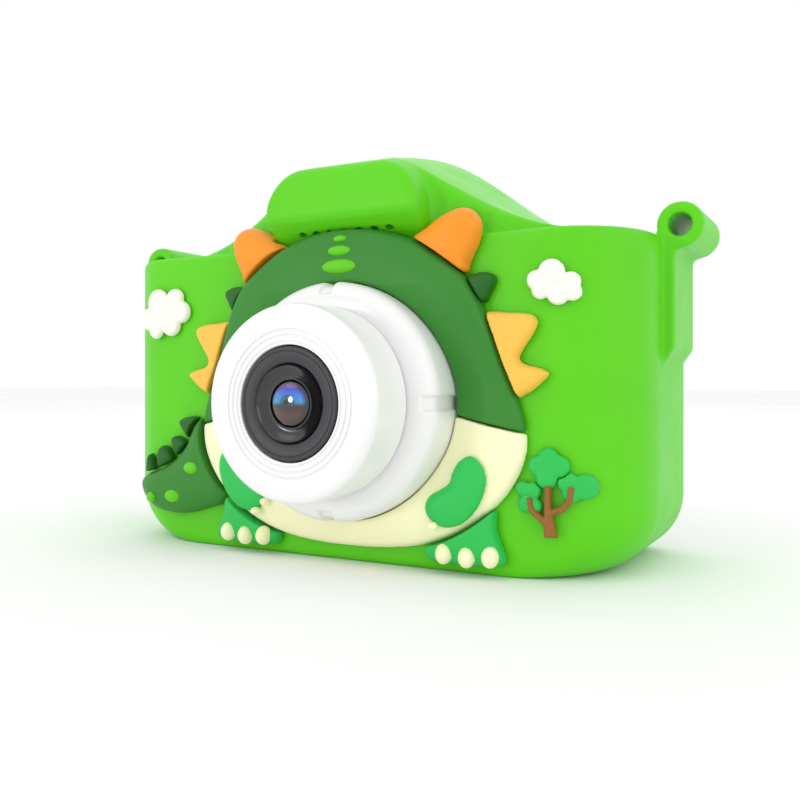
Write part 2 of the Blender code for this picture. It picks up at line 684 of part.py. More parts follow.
def lobed_outline(lobes, segments=30):
    """The outer outline of overlapping discs, as seen from their common middle."""
    middle_x = sum(x for x, _, _ in lobes) / len(lobes)
    middle_z = sum(z for _, z, _ in lobes) / len(lobes)
    outline = []
    for k in range(segments):
        a = 2 * math.pi * k / segments
        ux, uz = math.cos(a), math.sin(a)
        reach = 0.3
        for x, z, radius in lobes:
            along = (x - middle_x) * ux + (z - middle_z) * uz
            off = (x - middle_x) * uz - (z - middle_z) * ux
            if abs(off) < radius:
                reach = max(reach, along + math.sqrt(radius**2 - off**2))
        outline.append(((middle_x + ux * reach) * MM, (middle_z + uz * reach) * MM))
    return outline


def skinned(name, outline, base, thick, paint):
    """A relief piece that follows the case's front, from base to base + thick above it."""
    piece = prism_y(name, outline, FRONT - base - thick - 2 * MM, FRONT + 9 * MM, paint)
    outer = loft(name + "_outer_skin", case_rings(-base - thick, 0.0), paint)
    inner = loft(name + "_inner_skin", case_rings(-base, MM), paint)
    boolean(piece, outer, "INTERSECT")
    cut(piece, inner)
    return piece


def lens_clearance():
    outline = circle(LENS_X, LENS_Z, BASE_RING_RADIUS + GAP, LENS_SEGMENTS)
    return prism_y("relief_lens_hole", outline, FRONT - 9 * MM, FRONT + MM, WHITE)


def hump_clearance():
    """A wedge under the hump's nose, which keeps the relief off it."""
    half = HUMP_NOSE_HALF + GAP
    slope = (HUMP_NOSE_LOW - SLEEVE_HEIGHT) / HUMP_NOSE
    near, far = FRONT - HUMP_NOSE - 2 * MM, FRONT + MM
    z_near = SLEEVE_HEIGHT - 0.7 * MM + slope * (FRONT - near)
    z_far = SLEEVE_HEIGHT - 0.7 * MM - slope * (far - FRONT)
    top = HUMP_NOSE_LOW + 9 * MM
    rings = []
    for x in (LENS_X - half, LENS_X + half):
        rings.append([(x, near, z_near), (x, far, z_far), (x, far, top), (x, near, top)])
    return loft("relief_hump_wedge", rings, GREEN)


def egg_points():
    right = list(EGG_UPPER + EGG_LOWER)
    left = [(-dx, z) for dx, z in right[-2:0:-1]]
    return on_face(right + left)


def egg_cutter(name, grow):
    """The hood and belly's common outline, grown by a clearance."""
    outline = inset(smooth_outline(egg_points(), 2), -grow)
    return prism_y(name, outline, FRONT - 9 * MM, FRONT + 9 * MM, DARK_GREEN)


def half_cutter(name, z_mid, z_side, below):
    """Everything below (or above) the seam between hood and belly."""
    far = 40 * MM
    edge = -30 * MM if below else 80 * MM
    outline = [
        (LENS_X - far, edge),
        (LENS_X + far, edge),
        (LENS_X + far, z_side),
        (LENS_X, z_mid),
        (LENS_X - far, z_side),
    ]
    return prism_y(name, anticlockwise(outline), FRONT - 9 * MM, FRONT + 9 * MM, CREAM)


def relief():
    near = FRONT - GAP
    lens_hole = lens_clearance()
    wedge = hump_clearance()
    seam_mid, seam_side = 25.5 * MM, 17.2 * MM
    egg = smooth_outline(egg_points(), 2)
    hood = prism_y("dino_hood", egg, near - HOOD_THICK, near, DARK_GREEN, bevel=1.8 * MM)
    cut(hood, half_cutter("hood_lower", seam_mid, seam_side, True), lens_hole, wedge)
    belly = prism_y("dino_belly", egg, near - BELLY_THICK, near, CREAM, bevel=1.6 * MM)
    cut(belly, half_cutter("belly_upper", seam_mid - GAP, seam_side - GAP, False), lens_hole)

    egg_clear = egg_cutter("egg_clearance", GAP)
    tail = skinned("dino_tail", tail_outline(), GAP, RELIEF_THICK, DARK_GREEN)
    cut(tail, egg_clear)
    for side, word in ((-1, "left"), (1, "right")):
        for name, points, thick, paint in (
            ("horn", HORN, HORN_THICK, ORANGE),
            ("cheek_spike", CHEEK_SPIKE, FIN_THICK, SPIKE_GREEN),
            ("side_fin", SIDE_FIN, FIN_THICK, YELLOW),
            ("foot", FOOT, FOOT_THICK, MINT),
        ):
            outline = smooth_outline(on_face(points, side), 2)
            piece = prism_y(f"{name}_{word}", outline, near - thick, near, paint, bevel=RELIEF_BEVEL)
            cut(piece, egg_clear)
            if name == "horn":
                cut(piece, wedge)
            if name == "foot" and side < 0:
                cut(piece, tail_clearance())
        front = near - BELLY_THICK - GAP
        outline = smooth_outline(on_face(ARM, side), 2)
        arm = prism_y(f"arm_{word}", outline, front - ARM_THICK, front, MINT, bevel=0.3 * MM)
        cut(arm, lens_hole)
        toes(word, side, near - FOOT_THICK - GAP)

    front = near - HOOD_THICK - GAP
    for k, (z, half_x, half_z) in enumerate(FOREHEAD_SPOTS):
        spot(f"forehead_spot_{k + 1}", LENS_X, z * MM, half_x, half_z, front)
    for k, points in enumerate(TAIL_SPIKES):
        outline = smooth_outline(along_tail(points), 2)
        piece = skinned(f"tail_spike_{k + 1}", outline, GAP, SPIKE_THICK, SPIKE_GREEN)
        cut(piece, tail_clearance(), egg_clear)
    for k, (x, z, half_x, half_z) in enumerate(along_tail(TAIL_SPOTS)):
        outline = [(x * MM + a * half_x, z * MM + b * half_z) for a, b in circle(0, 0, MM, 14)]
        skinned(f"tail_spot_{k + 1}", outline, 2 * GAP + RELIEF_THICK, SPOT_THICK, GREEN)

    for word, side, lobes in (("left", -1, LEFT_CLOUD), ("right", 1, RIGHT_CLOUD)):
        skinned(f"cloud_{word}", lobed_outline(at_side(lobes, side)), GAP, THIN_RELIEF, CLOUD)
    trunk_outline = anticlockwise([(x * MM, z * MM) for x, z in at_side(TRUNK, 1)])
    skinned("tree_trunk", trunk_outline, 2 * GAP + LEAF_THICK, TRUNK_THICK, BROWN)
    leaves = (("top", TOP_LEAVES), ("right", RIGHT_LEAVES), ("left", LEFT_LEAVES))
    outlines = {word: lobed_outline(at_side(lobes, 1), 20) for word, lobes in leaves}
    earlier = []
    for word, outline in outlines.items():
        piece = skinned(f"tree_leaves_{word}", outline, GAP, LEAF_THICK, MINT)
        for other in earlier:
            guard = inset(outlines[other], -GAP)
            name = f"leaf_clearance_{other}_{word}"
            cut(piece, prism_y(name, guard, FRONT - 5 * MM, FRONT + 9 * MM, MINT))
        earlier.append(word)


def tail_clearance():
    outline = inset(tail_outline(), -GAP)
    return prism_y("tail_clearance", outline, FRONT - 9 * MM, FRONT + 12 * MM, DARK_GREEN)


def spot(name, x, z, half_x, half_z, front):
    """A low oval button; half_x and half_z are in millimetres."""
    outline = [(x + a * half_x, z + b * half_z) for a, b in circle(0, 0, MM, 14)]
    return prism_y(name, outline, front - SPOT_THICK, front, GREEN, bevel=0.2 * MM)


def toes(word, side, front):
    """Three toes moulded together by a strip along their middle."""
    rows = on_face(TOES, side)
    x0, x1 = sorted((rows[0][0] * MM, rows[-1][0] * MM))
    z = rows[1][1] * MM
    half = 0.5 * MM
    strip = block(f"toes_{word}", (x0, front - half, z - half), (x1, front, z + half), CREAM)
    for k, (tx, tz) in enumerate(rows):
        outline = [(tx * MM + a * 1.1, tz * MM + b * 1.3) for a, b in circle(0, 0, MM, 12)]
        toe = prism_y(f"toe_form_{word}_{k}", outline, front - TOE_THICK, front, CREAM, bevel=0.4 * MM)
        join(strip, toe)
    return strip


# ---------------------------------------------------------------- lens
def lens_group():
    face = FRONT - BASE_RING_STAND
    tip = FRONT - BARREL_STAND
    ring_back = SHELL_FRONT - GAP
    edge = BASE_RING_EDGE
    rounded = [
        (BASE_RING_RADIUS - edge * (1 - math.sin(a)), face + edge * (1 - math.cos(a)))
        for a in (math.pi / 2 * k / 4 for k in range(5))
    ]
    bore = BARREL_NECK + GAP
    ring_profile = [(bore, face)] + rounded + [(BASE_RING_RADIUS, ring_back), (bore, ring_back)]
    ring = turned("lens_base_ring", ring_profile, WHITE)
    for k in range(4):
        a = math.pi / 2 * k
        cx, cz = LENS_X + BASE_RING_RADIUS * math.cos(a), LENS_Z + BASE_RING_RADIUS * math.sin(a)
        dx, dz = (NOTCH_HALF, NOTCH_LENGTH) if k % 2 else (NOTCH_LENGTH, NOTCH_HALF)
        notch = rounded_rectangle(cx - dx, cz - dz, cx + dx, cz + dz, NOTCH_CORNER)
        cut(ring, prism_y(f"ring_notch_{k + 1}", notch, face - MM, face + NOTCH_DEPTH, WHITE))

    step = BARREL_EDGE
    nose = [
        (BARREL_RADIUS - step * (1 - math.sin(a)), tip + step * (1 - math.cos(a)))
        for a in (math.pi / 2 * k / 4 for k in range(5))
    ]
    seat = BEZEL_RADIUS + GAP
    back = face - GAP
    neck_end = SHELL_FRONT + 1.0 * MM
    throat = tip + BEZEL_DEPTH + GAP
    shelf = BARREL_BORE - 1.5 * MM
    barrel_profile = [(seat, tip)] + nose + [(BARREL_RADIUS, back), (BARREL_NECK, back)]
    barrel_profile += [(BARREL_NECK, neck_end), (BARREL_BORE, neck_end)]
    barrel_profile += [(BARREL_BORE, throat + MM), (shelf, throat), (seat, throat)]
    turned("lens_barrel", barrel_profile, WHITE)

    lens_seat = FRONT_LENS_RADIUS + GAP
    bezel_back = tip + BEZEL_DEPTH
    bezel_profile = [
        (lens_seat, tip + 0.9 * MM),
        (lens_seat + 0.4 * MM, tip + 0.9 * MM),
        (BEZEL_FLAT_INNER - 0.3 * MM, tip + 0.25 * MM),
        (BEZEL_FLAT_INNER, tip),
        (BEZEL_RADIUS - 0.25 * MM, tip),
        (BEZEL_RADIUS, tip + 0.25 * MM),
        (BEZEL_RADIUS, bezel_back),
        (lens_seat, bezel_back),
    ]
    turned("lens_bezel", bezel_profile, DARK)
    dome = [(0, tip - 0.1 * MM)]
    dome += [
        (FRONT_LENS_RADIUS * math.sin(a), tip + 0.8 * MM - 0.9 * MM * math.cos(a))
        for a in (math.pi / 2 * k / 4 for k in range(1, 5))
    ]
    dome += [(FRONT_LENS_RADIUS, tip + 2.0 * MM), (0, tip + 2.0 * MM)]
    turned("front_lens", dome, GLASS, segments=24)
    start = throat + 0.2 * MM
    end = start + MODULE_LENGTH
    module = [(0, start), (MODULE_RADIUS, start), (MODULE_RADIUS, end), (0, end)]
    turned("camera_module", module, BLACK, segments=24)


# ---------------------------------------------------------------- camera shells
def boss_places():
    x = SLEEVE_WIDTH / 2 - BOSS_INSET_X
    high = SLEEVE_HEIGHT - BOSS_HIGH_DROP
    return [(-x, BOSS_LOW), (x, BOSS_LOW), (x, high), (-x, high)]


def shell_hollow(name):
    rings = case_rings(SHELL_INSIDE, SHELL_REAR - SHELL_WALL)
    return loft(name, rings, WHITE)


def front_shell():
    shell = loft("front_shell", case_rings(SHELL_INSET, SHELL_SPLIT), WHITE)
    cut(shell, shell_hollow("front_hollow"))
    for k, (x, z) in enumerate(boss_places()):
        y0 = case_front(SHELL_INSET, abs(x) + BOSS_RADIUS) + 0.2 * MM
        y1 = SHELL_SPLIT - 0.1 * MM
        join(shell, prism_y(f"front_boss_{k}", circle(x, z, BOSS_RADIUS, 12), y0, y1, WHITE))
    for k, (x, z) in enumerate(boss_places()):
        pilot = circle(x, z, SCREW_RADIUS + GAP, 10)
        cut(shell, prism_y(f"front_pilot_{k}", pilot, SHELL_FRONT + 4 * MM, SHELL_SPLIT + MM, WHITE))
    hole = circle(LENS_X, LENS_Z, BARREL_NECK + GAP, LENS_SEGMENTS)
    cut(shell, prism_y("shell_lens_hole", hole, SHELL_FRONT - MM, SHELL_FRONT + SHELL_WALL + MM, WHITE))
    for name, x, radius in TOP_CONTROLS:
        z0, z1 = SHELL_TOP - SHELL_WALL - 2 * MM, SHELL_TOP + MM
        cut(shell, pillar(name + "_hole", x, TOP_BUTTON_Y, radius + GAP, z0, z1, WHITE))
    return shell


def rear_shell():
    blank = case_rings(SHELL_INSET, SHELL_REAR)
    shell = loft("rear_shell", blank, WHITE)
    far = 60 * MM
    front_part = block("rear_trim", (-far, -far, -far), (far, SHELL_SPLIT + GAP, far), WHITE)
    cut(shell, shell_hollow("rear_hollow"), front_part)
    y0 = SHELL_SPLIT + GAP
    for k, (x, z) in enumerate(boss_places()):
        y1 = SHELL_REAR - 0.4 * MM
        join(shell, prism_y(f"rear_boss_{k}", circle(x, z, BOSS_RADIUS, 12), y0, y1, WHITE))
    for k, (x, z) in enumerate(boss_places()):
        pilot = circle(x, z, SCREW_RADIUS + GAP, 10)
        cut(shell, prism_y(f"rear_pilot_{k}", pilot, y0 - MM, SHELL_REAR + MM, WHITE))
        head = circle(x, z, SCREW_HEAD + GAP, 12)
        depth = SHELL_REAR - SCREW_HEAD_HEIGHT - GAP
        cut(shell, prism_y(f"screw_recess_{k}", head, depth, SHELL_REAR + MM, WHITE))
    cut(shell, window_form("window_hole", GAP, SHELL_REAR - SHELL_WALL - MM, SHELL_REAR + MM))
    for name, outline in nav_outlines(GAP).items():
        cut(shell, prism_y(name + "_hole", outline, SHELL_REAR - SHELL_WALL - MM, SHELL_REAR + MM, WHITE))
    hole = circle(PAD_X, REAR_LENS_Z, REAR_LENS_RADIUS + GAP, 16)
    cut(shell, prism_y("rear_lens_hole", hole, SHELL_REAR - SHELL_WALL - MM, SHELL_REAR + MM, WHITE))
    side = SLEEVE_WIDTH / 2 - SHELL_INSET
    cut(shell, port_window("shell_port_window", side - SHELL_WALL - MM, side + MM, GAP))
    return shell


def window_form(name, grow, y0, y1):
    low, high = WINDOW_END_MARGIN - grow, SLEEVE_HEIGHT - WINDOW_END_MARGIN + grow
    outline = rounded_rectangle(WINDOW_LEFT - grow, low, WINDOW_RIGHT + grow, high, WINDOW_CORNER)
    return prism_y(name, outline, y0, y1, SCREEN)


def case_screws():
    for k, (x, z) in enumerate(boss_places()):
        top = SHELL_REAR - 0.1 * MM
        under = top - SCREW_HEAD_HEIGHT
        end = under - SCREW_LENGTH
        profile = [(0, end), (SCREW_RADIUS, end), (SCREW_RADIUS, under), (SCREW_HEAD, under)]
        profile += [(SCREW_HEAD, top), (0, top)]
        turned(f"case_screw_{k + 1}", profile, STEEL, x, z, 12)


# ---------------------------------------------------------------- controls
def nav_outlines(grow):
    """Outlines of the five rear buttons, grown by a clearance."""
    outlines = {"ok_button": circle(PAD_X, PAD_Z, OK_RADIUS + grow, 20)}
    for name, ux, uz in (("up", 0, 1), ("down", 0, -1), ("left", 1, 0), ("right", -1, 0)):
        cx, cz = PAD_X + ux * PAD_REACH, PAD_Z + uz * PAD_REACH
        half_x = (ARROW_SHORT if ux else ARROW_LONG) / 2 + grow
        half_z = (ARROW_LONG if ux else ARROW_SHORT) / 2 + grow
        outlines[name + "_button"] = rounded_rectangle(
            cx - half_x, cz - half_z, cx + half_x, cz + half_z, 1.6 * MM
        )
    return outlines


def nav_buttons():
    inside = SHELL_REAR - SHELL_WALL - GAP
    for name, outline in nav_outlines(0.0).items():
        flange = inset(outline, -NAV_FLANGE)
        rings = [[(x, inside - NAV_FLANGE_THICK, z) for x, z in flange]]
        rings.append([(x, inside, z) for x, z in flange])
        rings.append([(x, inside, z) for x, z in outline])
        face = SHELL_REAR + NAV_STAND
        rings.append([(x, face - NAV_EDGE, z) for x, z in outline])
        rings.append([(x, face, z) for x, z in inset(outline, NAV_EDGE)])
        centre_x = sum(x for x, _ in outline) / len(outline)
        centre_z = sum(z for _, z in outline) / len(outline)
        set_origin(loft(name, rings, WHITE), centre_x, face, centre_z)


def top_buttons():
    inside = SHELL_TOP - SHELL_WALL - GAP
    for name, x, radius in TOP_CONTROLS:
        flange = radius + TOP_BUTTON_FLANGE
        top = SLEEVE_HEIGHT + TOP_BUTTON_STAND
        steps = (
            (flange, inside - TOP_BUTTON_FLANGE_THICK),
            (flange, inside),
            (radius, inside),
            (radius, top - TOP_BUTTON_EDGE),
            (radius - TOP_BUTTON_EDGE, top),
        )
        rings = [[(px, py, z) for px, py in circle(x, TOP_BUTTON_Y, r, 20)] for r, z in steps]
        set_origin(loft(name + "_button", rings, WHITE), x, TOP_BUTTON_Y, top)


# ---------------------------------------------------------------- inside parts
def electronics():
    inner_x = SLEEVE_WIDTH / 2 - SHELL_INSIDE
    board_x0 = -inner_x + 0.5 * MM
    board_x1 = SLEEVE_WIDTH / 2 - BOSS_INSET_X - BOSS_RADIUS - MM
    block("main_board", (board_x0, BOARD_Y, BOARD_LOW), (board_x1, BOARD_Y + BOARD_THICK, BOARD_HIGH), BOARD)

    port_face = -(SLEEVE_WIDTH / 2 - SHELL_INSET - 0.2 * MM)
    usb_low, usb_high = USB_Z - USB_WIDTH / 2, USB_Z + USB_WIDTH / 2
    usb_y = BOARD_Y - GAP
    usb = block(
        "usb_port",
        (port_face, usb_y - USB_THICK + GAP, usb_low),
        (port_face + USB_DEPTH, usb_y, usb_high),
        STEEL,
    )
    mouth = block(
        "usb_mouth",
        (port_face - MM, usb_y - USB_THICK + GAP + USB_WALL, usb_low + USB_WALL),
        (port_face + USB_DEPTH - 1.5 * MM, usb_y - USB_WALL, usb_high - USB_WALL),
        STEEL,
    )
    cut(usb, mouth)

    card_y1 = BOARD_Y - GAP - SOCKET_WALL - GAP
    card_y0 = card_y1 - CARD_THICK
    card_x0 = -(SLEEVE_WIDTH / 2 - SHELL_INSET) - CARD_STAND
    card_low, card_high = CARD_Z - CARD_WIDTH / 2, CARD_Z + CARD_WIDTH / 2
    card_x1 = card_x0 + CARD_LENGTH
    card = block("memory_card", (card_x0, card_y0, card_low), (card_x1, card_y1, card_high), BLACK)
    set_origin(card, card_x0, (card_y0 + card_y1) / 2, CARD_Z)
    shell = SOCKET_WALL + GAP
    socket_x0 = -inner_x + 0.4 * MM
    socket = block(
        "card_socket",
        (socket_x0, card_y0 - shell, card_low - shell),
        (card_x1 + shell, BOARD_Y - GAP, card_high + shell),
        STEEL,
    )
    slot = block(
        "card_slot",
        (socket_x0 - MM, card_y0 - GAP, card_low - GAP),
        (card_x1 + GAP, card_y1 + GAP, card_high + GAP),
        STEEL,
    )
    cut(socket, slot)

    window_form("display_window", 0.0, SHELL_REAR - WINDOW_THICK, SHELL_REAR)
    display_back = SHELL_REAR - SHELL_WALL - GAP
    low, high = WINDOW_END_MARGIN + DISPLAY_MARGIN, SLEEVE_HEIGHT - WINDOW_END_MARGIN - DISPLAY_MARGIN
    block(
        "display_module",
        (WINDOW_LEFT + DISPLAY_MARGIN, display_back - DISPLAY_THICK, low),
        (WINDOW_RIGHT - DISPLAY_MARGIN, display_back, high),
        BLACK,
    )
    block(
        "battery",
        (BOSS_INSET_X - SLEEVE_WIDTH / 2, SHELL_FRONT + 3 * MM, BOARD_LOW),
        (LENS_X - BARREL_NECK - 2 * MM, SHELL_FRONT + 3 * MM + BATTERY_THICK, BOARD_HIGH),
        CELL,
    )
    pillar(
        "speaker",
        LENS_X,
        FRONT + 8.8 * MM,
        SPEAKER_RADIUS,
        SHELL_TOP + GAP,
        SHELL_TOP + GAP + SPEAKER_THICK,
        BLACK,
    )
    back, crown = SHELL_REAR - REAR_LENS_THICK, SHELL_REAR + REAR_LENS_CROWN
    lens = [(0, back), (REAR_LENS_RADIUS, back), (REAR_LENS_RADIUS, SHELL_REAR)]
    lens += [(REAR_LENS_RADIUS - 0.4 * MM, crown), (0, crown)]
    turned("rear_lens", lens, GLASS, PAD_X, REAR_LENS_Z, 16)


silicone_sleeve()
relief()
lens_group()
front_shell()
rear_shell()
case_screws()
nav_buttons()
top_buttons()
electronics()
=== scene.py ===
"""The looks of a kids digital camera in a silicone dinosaur sleeve, built around its CAD frame.

Moulded silicone is modelled as distance fields turned into meshes, so that its edges are rounded
and its joints have small fillets. The lens parts are turned profiles. Places come from the frame.
"""

import math

import bmesh
import bpy
import numpy as np
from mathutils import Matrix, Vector


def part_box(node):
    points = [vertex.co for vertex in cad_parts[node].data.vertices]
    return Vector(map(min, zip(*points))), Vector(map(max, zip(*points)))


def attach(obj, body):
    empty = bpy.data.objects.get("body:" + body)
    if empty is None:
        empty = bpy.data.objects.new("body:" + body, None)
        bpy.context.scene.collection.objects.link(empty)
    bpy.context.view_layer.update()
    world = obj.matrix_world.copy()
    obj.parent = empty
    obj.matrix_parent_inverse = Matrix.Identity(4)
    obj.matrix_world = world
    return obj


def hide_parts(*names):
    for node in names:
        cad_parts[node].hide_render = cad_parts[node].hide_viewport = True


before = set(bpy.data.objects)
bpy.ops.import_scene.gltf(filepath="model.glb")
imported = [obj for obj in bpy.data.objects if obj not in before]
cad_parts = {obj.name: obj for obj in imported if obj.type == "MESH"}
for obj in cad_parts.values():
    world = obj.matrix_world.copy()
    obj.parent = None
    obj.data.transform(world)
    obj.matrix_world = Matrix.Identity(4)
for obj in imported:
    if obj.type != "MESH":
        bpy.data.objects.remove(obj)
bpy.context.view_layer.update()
MM = 0.001

# ---------------------------------------------------------------- places, from the frame (mm)


def box_mm(node):
    low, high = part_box(node)
    return np.array(low) / MM, np.array(high) / MM


BARREL_LOW, BARREL_HIGH = box_mm("lens_barrel")
RING_LOW, RING_HIGH = box_mm("lens_base_ring")
BEZEL_LOW, BEZEL_HIGH = box_mm("lens_bezel")
GLASS_LOW, GLASS_HIGH = box_mm("front_lens")
SLEEVE_LOW, SLEEVE_HIGH = box_mm("silicone_sleeve")
_, HOOD_HIGH = box_mm("dino_hood")
GAP = 0.3
RING_GAP = 0.12  # the narrower gap between the relief and the base ring
LENS_X = (BARREL_LOW[0] + BARREL_HIGH[0]) / 2
LENS_Z = (BARREL_LOW[2] + BARREL_HIGH[2]) / 2
BARREL_RADIUS = (BARREL_HIGH[0] - BARREL_LOW[0]) / 2
RING_RADIUS = (RING_HIGH[0] - RING_LOW[0]) / 2
BEZEL_RADIUS = (BEZEL_HIGH[0] - BEZEL_LOW[0]) / 2
GLASS_RADIUS = (GLASS_HIGH[0] - GLASS_LOW[0]) / 2
FRONT = HOOD_HIGH[1] + GAP
REAR = SLEEVE_HIGH[1]

# ---------------------------------------------------------------- sleeve sizes (mm)
CASE_HALF = 45.0
CASE_HEIGHT = 47.0
WALL = 2.2
REAR_LIP = 2.0
RIM = 6.0
FRONT_FILLET = 12.4
REAR_FILLET = 4.0
LOWER_CORNER = 9.5
HUMP_NOSE = FRONT - SLEEVE_LOW[1]
HUMP_TOP = SLEEVE_HIGH[2]
NOSE_TOP = 57.2
NOSE_LOW = 50.3
NOSE_HALF = 12.85
NOSE_FLAT = 6.4
HUMP_FOOT = 37.0
HUMP_FLARE = 6.5
HUMP_BACK = 6.0
HUMP_SWELL = 0.85  # how soon the bell falls away from its crest; smaller is steeper
EYELET_RADIUS = 3.2
EYELET_HOLE = 1.6
EYELET_X = CASE_HALF + 2.4
EYELET_Z = CASE_HEIGHT + 1.2
EYELET_FRONT = FRONT + 13.65
EYELET_LENGTH = 14.4
WEB_X = CASE_HALF + 1.7
WEB_DROP = 17.0
WEB_CHAMFER = 4.6
SOUND_HOLES = 7
SOUND_SETBACK = 2.0  # how far they lie ahead of the front panel
SOUND_PITCH = 2.45
SOUND_RADIUS = 0.65


# ---------------------------------------------------------------- distance fields
class Grid:
    """A regular grid of points, in millimetres, over a box."""

    def __init__(self, low, high, step):
        self.step = step
        self.low = np.array(low, float) - 2.5 * step
        counts = np.ceil((np.array(high, float) - self.low) / step + 2.5).astype(int) + 1
        axes = [self.low[i] + step * np.arange(counts[i]) for i in range(3)]
        self.x = axes[0][:, None, None]
        self.y = axes[1][None, :, None]
        self.z = axes[2][None, None, :]
        self.shape = tuple(counts)


def union(a, b, radius=0.0):
    """Both shapes, with a fillet of about radius where they meet."""
    if radius == 0.0:
        return np.minimum(a, b)
    h = np.clip(0.5 + 0.5 * (b - a) / radius, 0, 1)
    return b + (a - b) * h - radius * h * (1 - h)


def overlap(a, b, radius=0.0):
    """What two shapes share, with its new edge rounded by about radius."""
    return -union(-a, -b, radius)


def minus(a, b, radius=0.0):
    return overlap(a, -b, radius)


def round_overlap(a, b, radius):
    """What two shapes share, with its new edge a true quarter round."""
    inner = np.minimum(np.maximum(a + radius, b + radius), 0)
    outer = np.hypot(np.maximum(a + radius, 0), np.maximum(b + radius, 0))
    return inner + outer - radius


def box_field(x, y, z, low, high, radius=0.0):
    """A block with rounded edges."""
    spans = zip((x, y, z), low, high)
    parts = [np.abs(value - (a + b) / 2) - ((b - a) / 2 - radius) for value, a, b in spans]
    outside = np.sqrt(sum(np.maximum(p, 0) ** 2 for p in parts))
    return outside + np.minimum(np.maximum(np.maximum(parts[0], parts[1]), parts[2]), 0) - radius


def polygon_field(x, z, outline):
    """Signed distance to a closed outline, negative inside. x and z are 2-D arrays."""
    px, pz = np.broadcast_arrays(x, z)
    nearest = np.full(px.shape, 1e9)
    inside = np.zeros(px.shape, bool)
    for (ax, az), (bx, bz) in zip(outline, outline[1:] + outline[:1]):
        ex, ez = bx - ax, bz - az
        wx, wz = px - ax, pz - az
        t = np.clip((wx * ex + wz * ez) / (ex * ex + ez * ez), 0, 1)
        nearest = np.minimum(nearest, (wx - ex * t) ** 2 + (wz - ez * t) ** 2)
        if az != bz:
            crosses = (pz >= min(az, bz)) & (pz < max(az, bz))
            inside ^= crosses & (wx < ex * wz / ez)
    return np.where(inside, -1, 1) * np.sqrt(nearest)


def smooth_outline(points, steps=10):
    """A closed Catmull-Rom curve through the points."""
    count = len(points)
    outline = []
    for i in range(count):
        four = [points[(i + k) % count] for k in (-1, 0, 1, 2)]
        for k in range(steps):
            t = k / steps
            outline.append(tuple(spline(*column, t) for column in zip(*four)))
    return outline


def spline(a, b, c, d, t):
    slope = (c - a) * t
    bend = (2 * a - 5 * b + 4 * c - d) * t**2
    return 0.5 * (2 * b + slope + bend + (3 * b - a - 3 * c + d) * t**3)


def net(name, field, grid, smooth=1, limits=None):
    """A closed mesh of the surface where the field is zero, one vertex for each crossed cell.

    limits are the lowest and highest corners, in millimetres, that smoothing may not pass."""
    field = np.broadcast_to(field, grid.shape)
    inside = field < 0
    cells = np.array(grid.shape) - 1
    owners, points, quads = [], [], []
    for axis in range(3):
        near = tuple(slice(0, -1) if k == axis else slice(None) for k in range(3))
        far = tuple(slice(1, None) if k == axis else slice(None) for k in range(3))
        crossed = inside[near] != inside[far]
        index = np.argwhere(crossed)
        a, b = field[near][crossed], field[far][crossed]
        point = index.astype(float)
        point[:, axis] += a / (a - b)
        u, v = (axis + 1) % 3, (axis + 2) % 3
        corners = []
        for du, dv in ((0, 0), (-1, 0), (-1, -1), (0, -1)):
            cell = index.copy()
            cell[:, u] += du
            cell[:, v] += dv
            corners.append((cell[:, 0] * cells[1] + cell[:, 1]) * cells[2] + cell[:, 2])
            points.append(point)
        quad = np.stack(corners, 1)
        leaving = a < 0
        quad[~leaving] = quad[~leaving][:, ::-1]
        quads.append(quad)
        owners += corners
    owner = np.concatenate(owners)
    point = np.concatenate(points)
    cell, vertex = np.unique(owner, return_inverse=True)
    count = np.bincount(vertex)
    place = np.stack([np.bincount(vertex, point[:, k]) / count for k in range(3)], 1)
    quad = np.searchsorted(cell, np.concatenate(quads))
    for _ in range(smooth):
        place = relaxed(place, quad)
    place = grid.low + grid.step * place
    if limits:
        place = np.clip(place, *limits)
    return mesh_object(name, place * MM, quad)


def relaxed(place, quad, share=0.5):
    """Each vertex moved part of the way to the middle of its neighbours, then back by the same."""
    ends = np.concatenate([quad[:, [0, 1]], quad[:, [1, 2]], quad[:, [2, 3]], quad[:, [3, 0]]])
    count = np.bincount(ends[:, 0], minlength=len(place))
    count = count + np.bincount(ends[:, 1], minlength=len(place))
    for factor in (share, -share * 1.04):
        total = np.zeros_like(place)
        for k in range(3):
            total[:, k] = np.bincount(ends[:, 0], place[ends[:, 1], k], len(place))
            total[:, k] += np.bincount(ends[:, 1], place[ends[:, 0], k], len(place))
        place = place + factor * (total / count[:, None] - place)
    return place


def mesh_object(name, places, faces):
    mesh = bpy.data.meshes.new(name)
    sides = faces.shape[1]
    mesh.vertices.add(len(places))
    mesh.vertices.foreach_set("co", places.astype(np.float32).ravel())
    mesh.loops.add(faces.size)
    mesh.loops.foreach_set("vertex_index", faces.astype(np.int32).ravel())
    mesh.polygons.add(len(faces))
    mesh.polygons.foreach_set("loop_start", np.arange(0, faces.size, sides, dtype=np.int32))
    mesh.update(calc_edges=True)
    mesh.validate()
    mesh.shade_smooth()
    made = bpy.data.objects.new(name, mesh)
    bpy.context.scene.collection.objects.link(made)
    return made


def finish_piece(made, look, body="camera", replaced=()):
    """Gives a piece its material, hangs it on its body and hides the frame parts that it replaces.
    """
    made.data.materials.clear()
    made.data.materials.append(look)
    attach(made, body)
    if replaced:
        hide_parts(*replaced)
    return made


# ---------------------------------------------------------------- materials
def srgb(red, green, blue):
    """A linear colour from 0-255 display values."""
    linear = []
    for value in (red, green, blue):
        share = value / 255
        linear.append(share / 12.92 if share <= 0.04045 else ((share + 0.055) / 1.055) ** 2.4)
    return (*linear, 1.0)


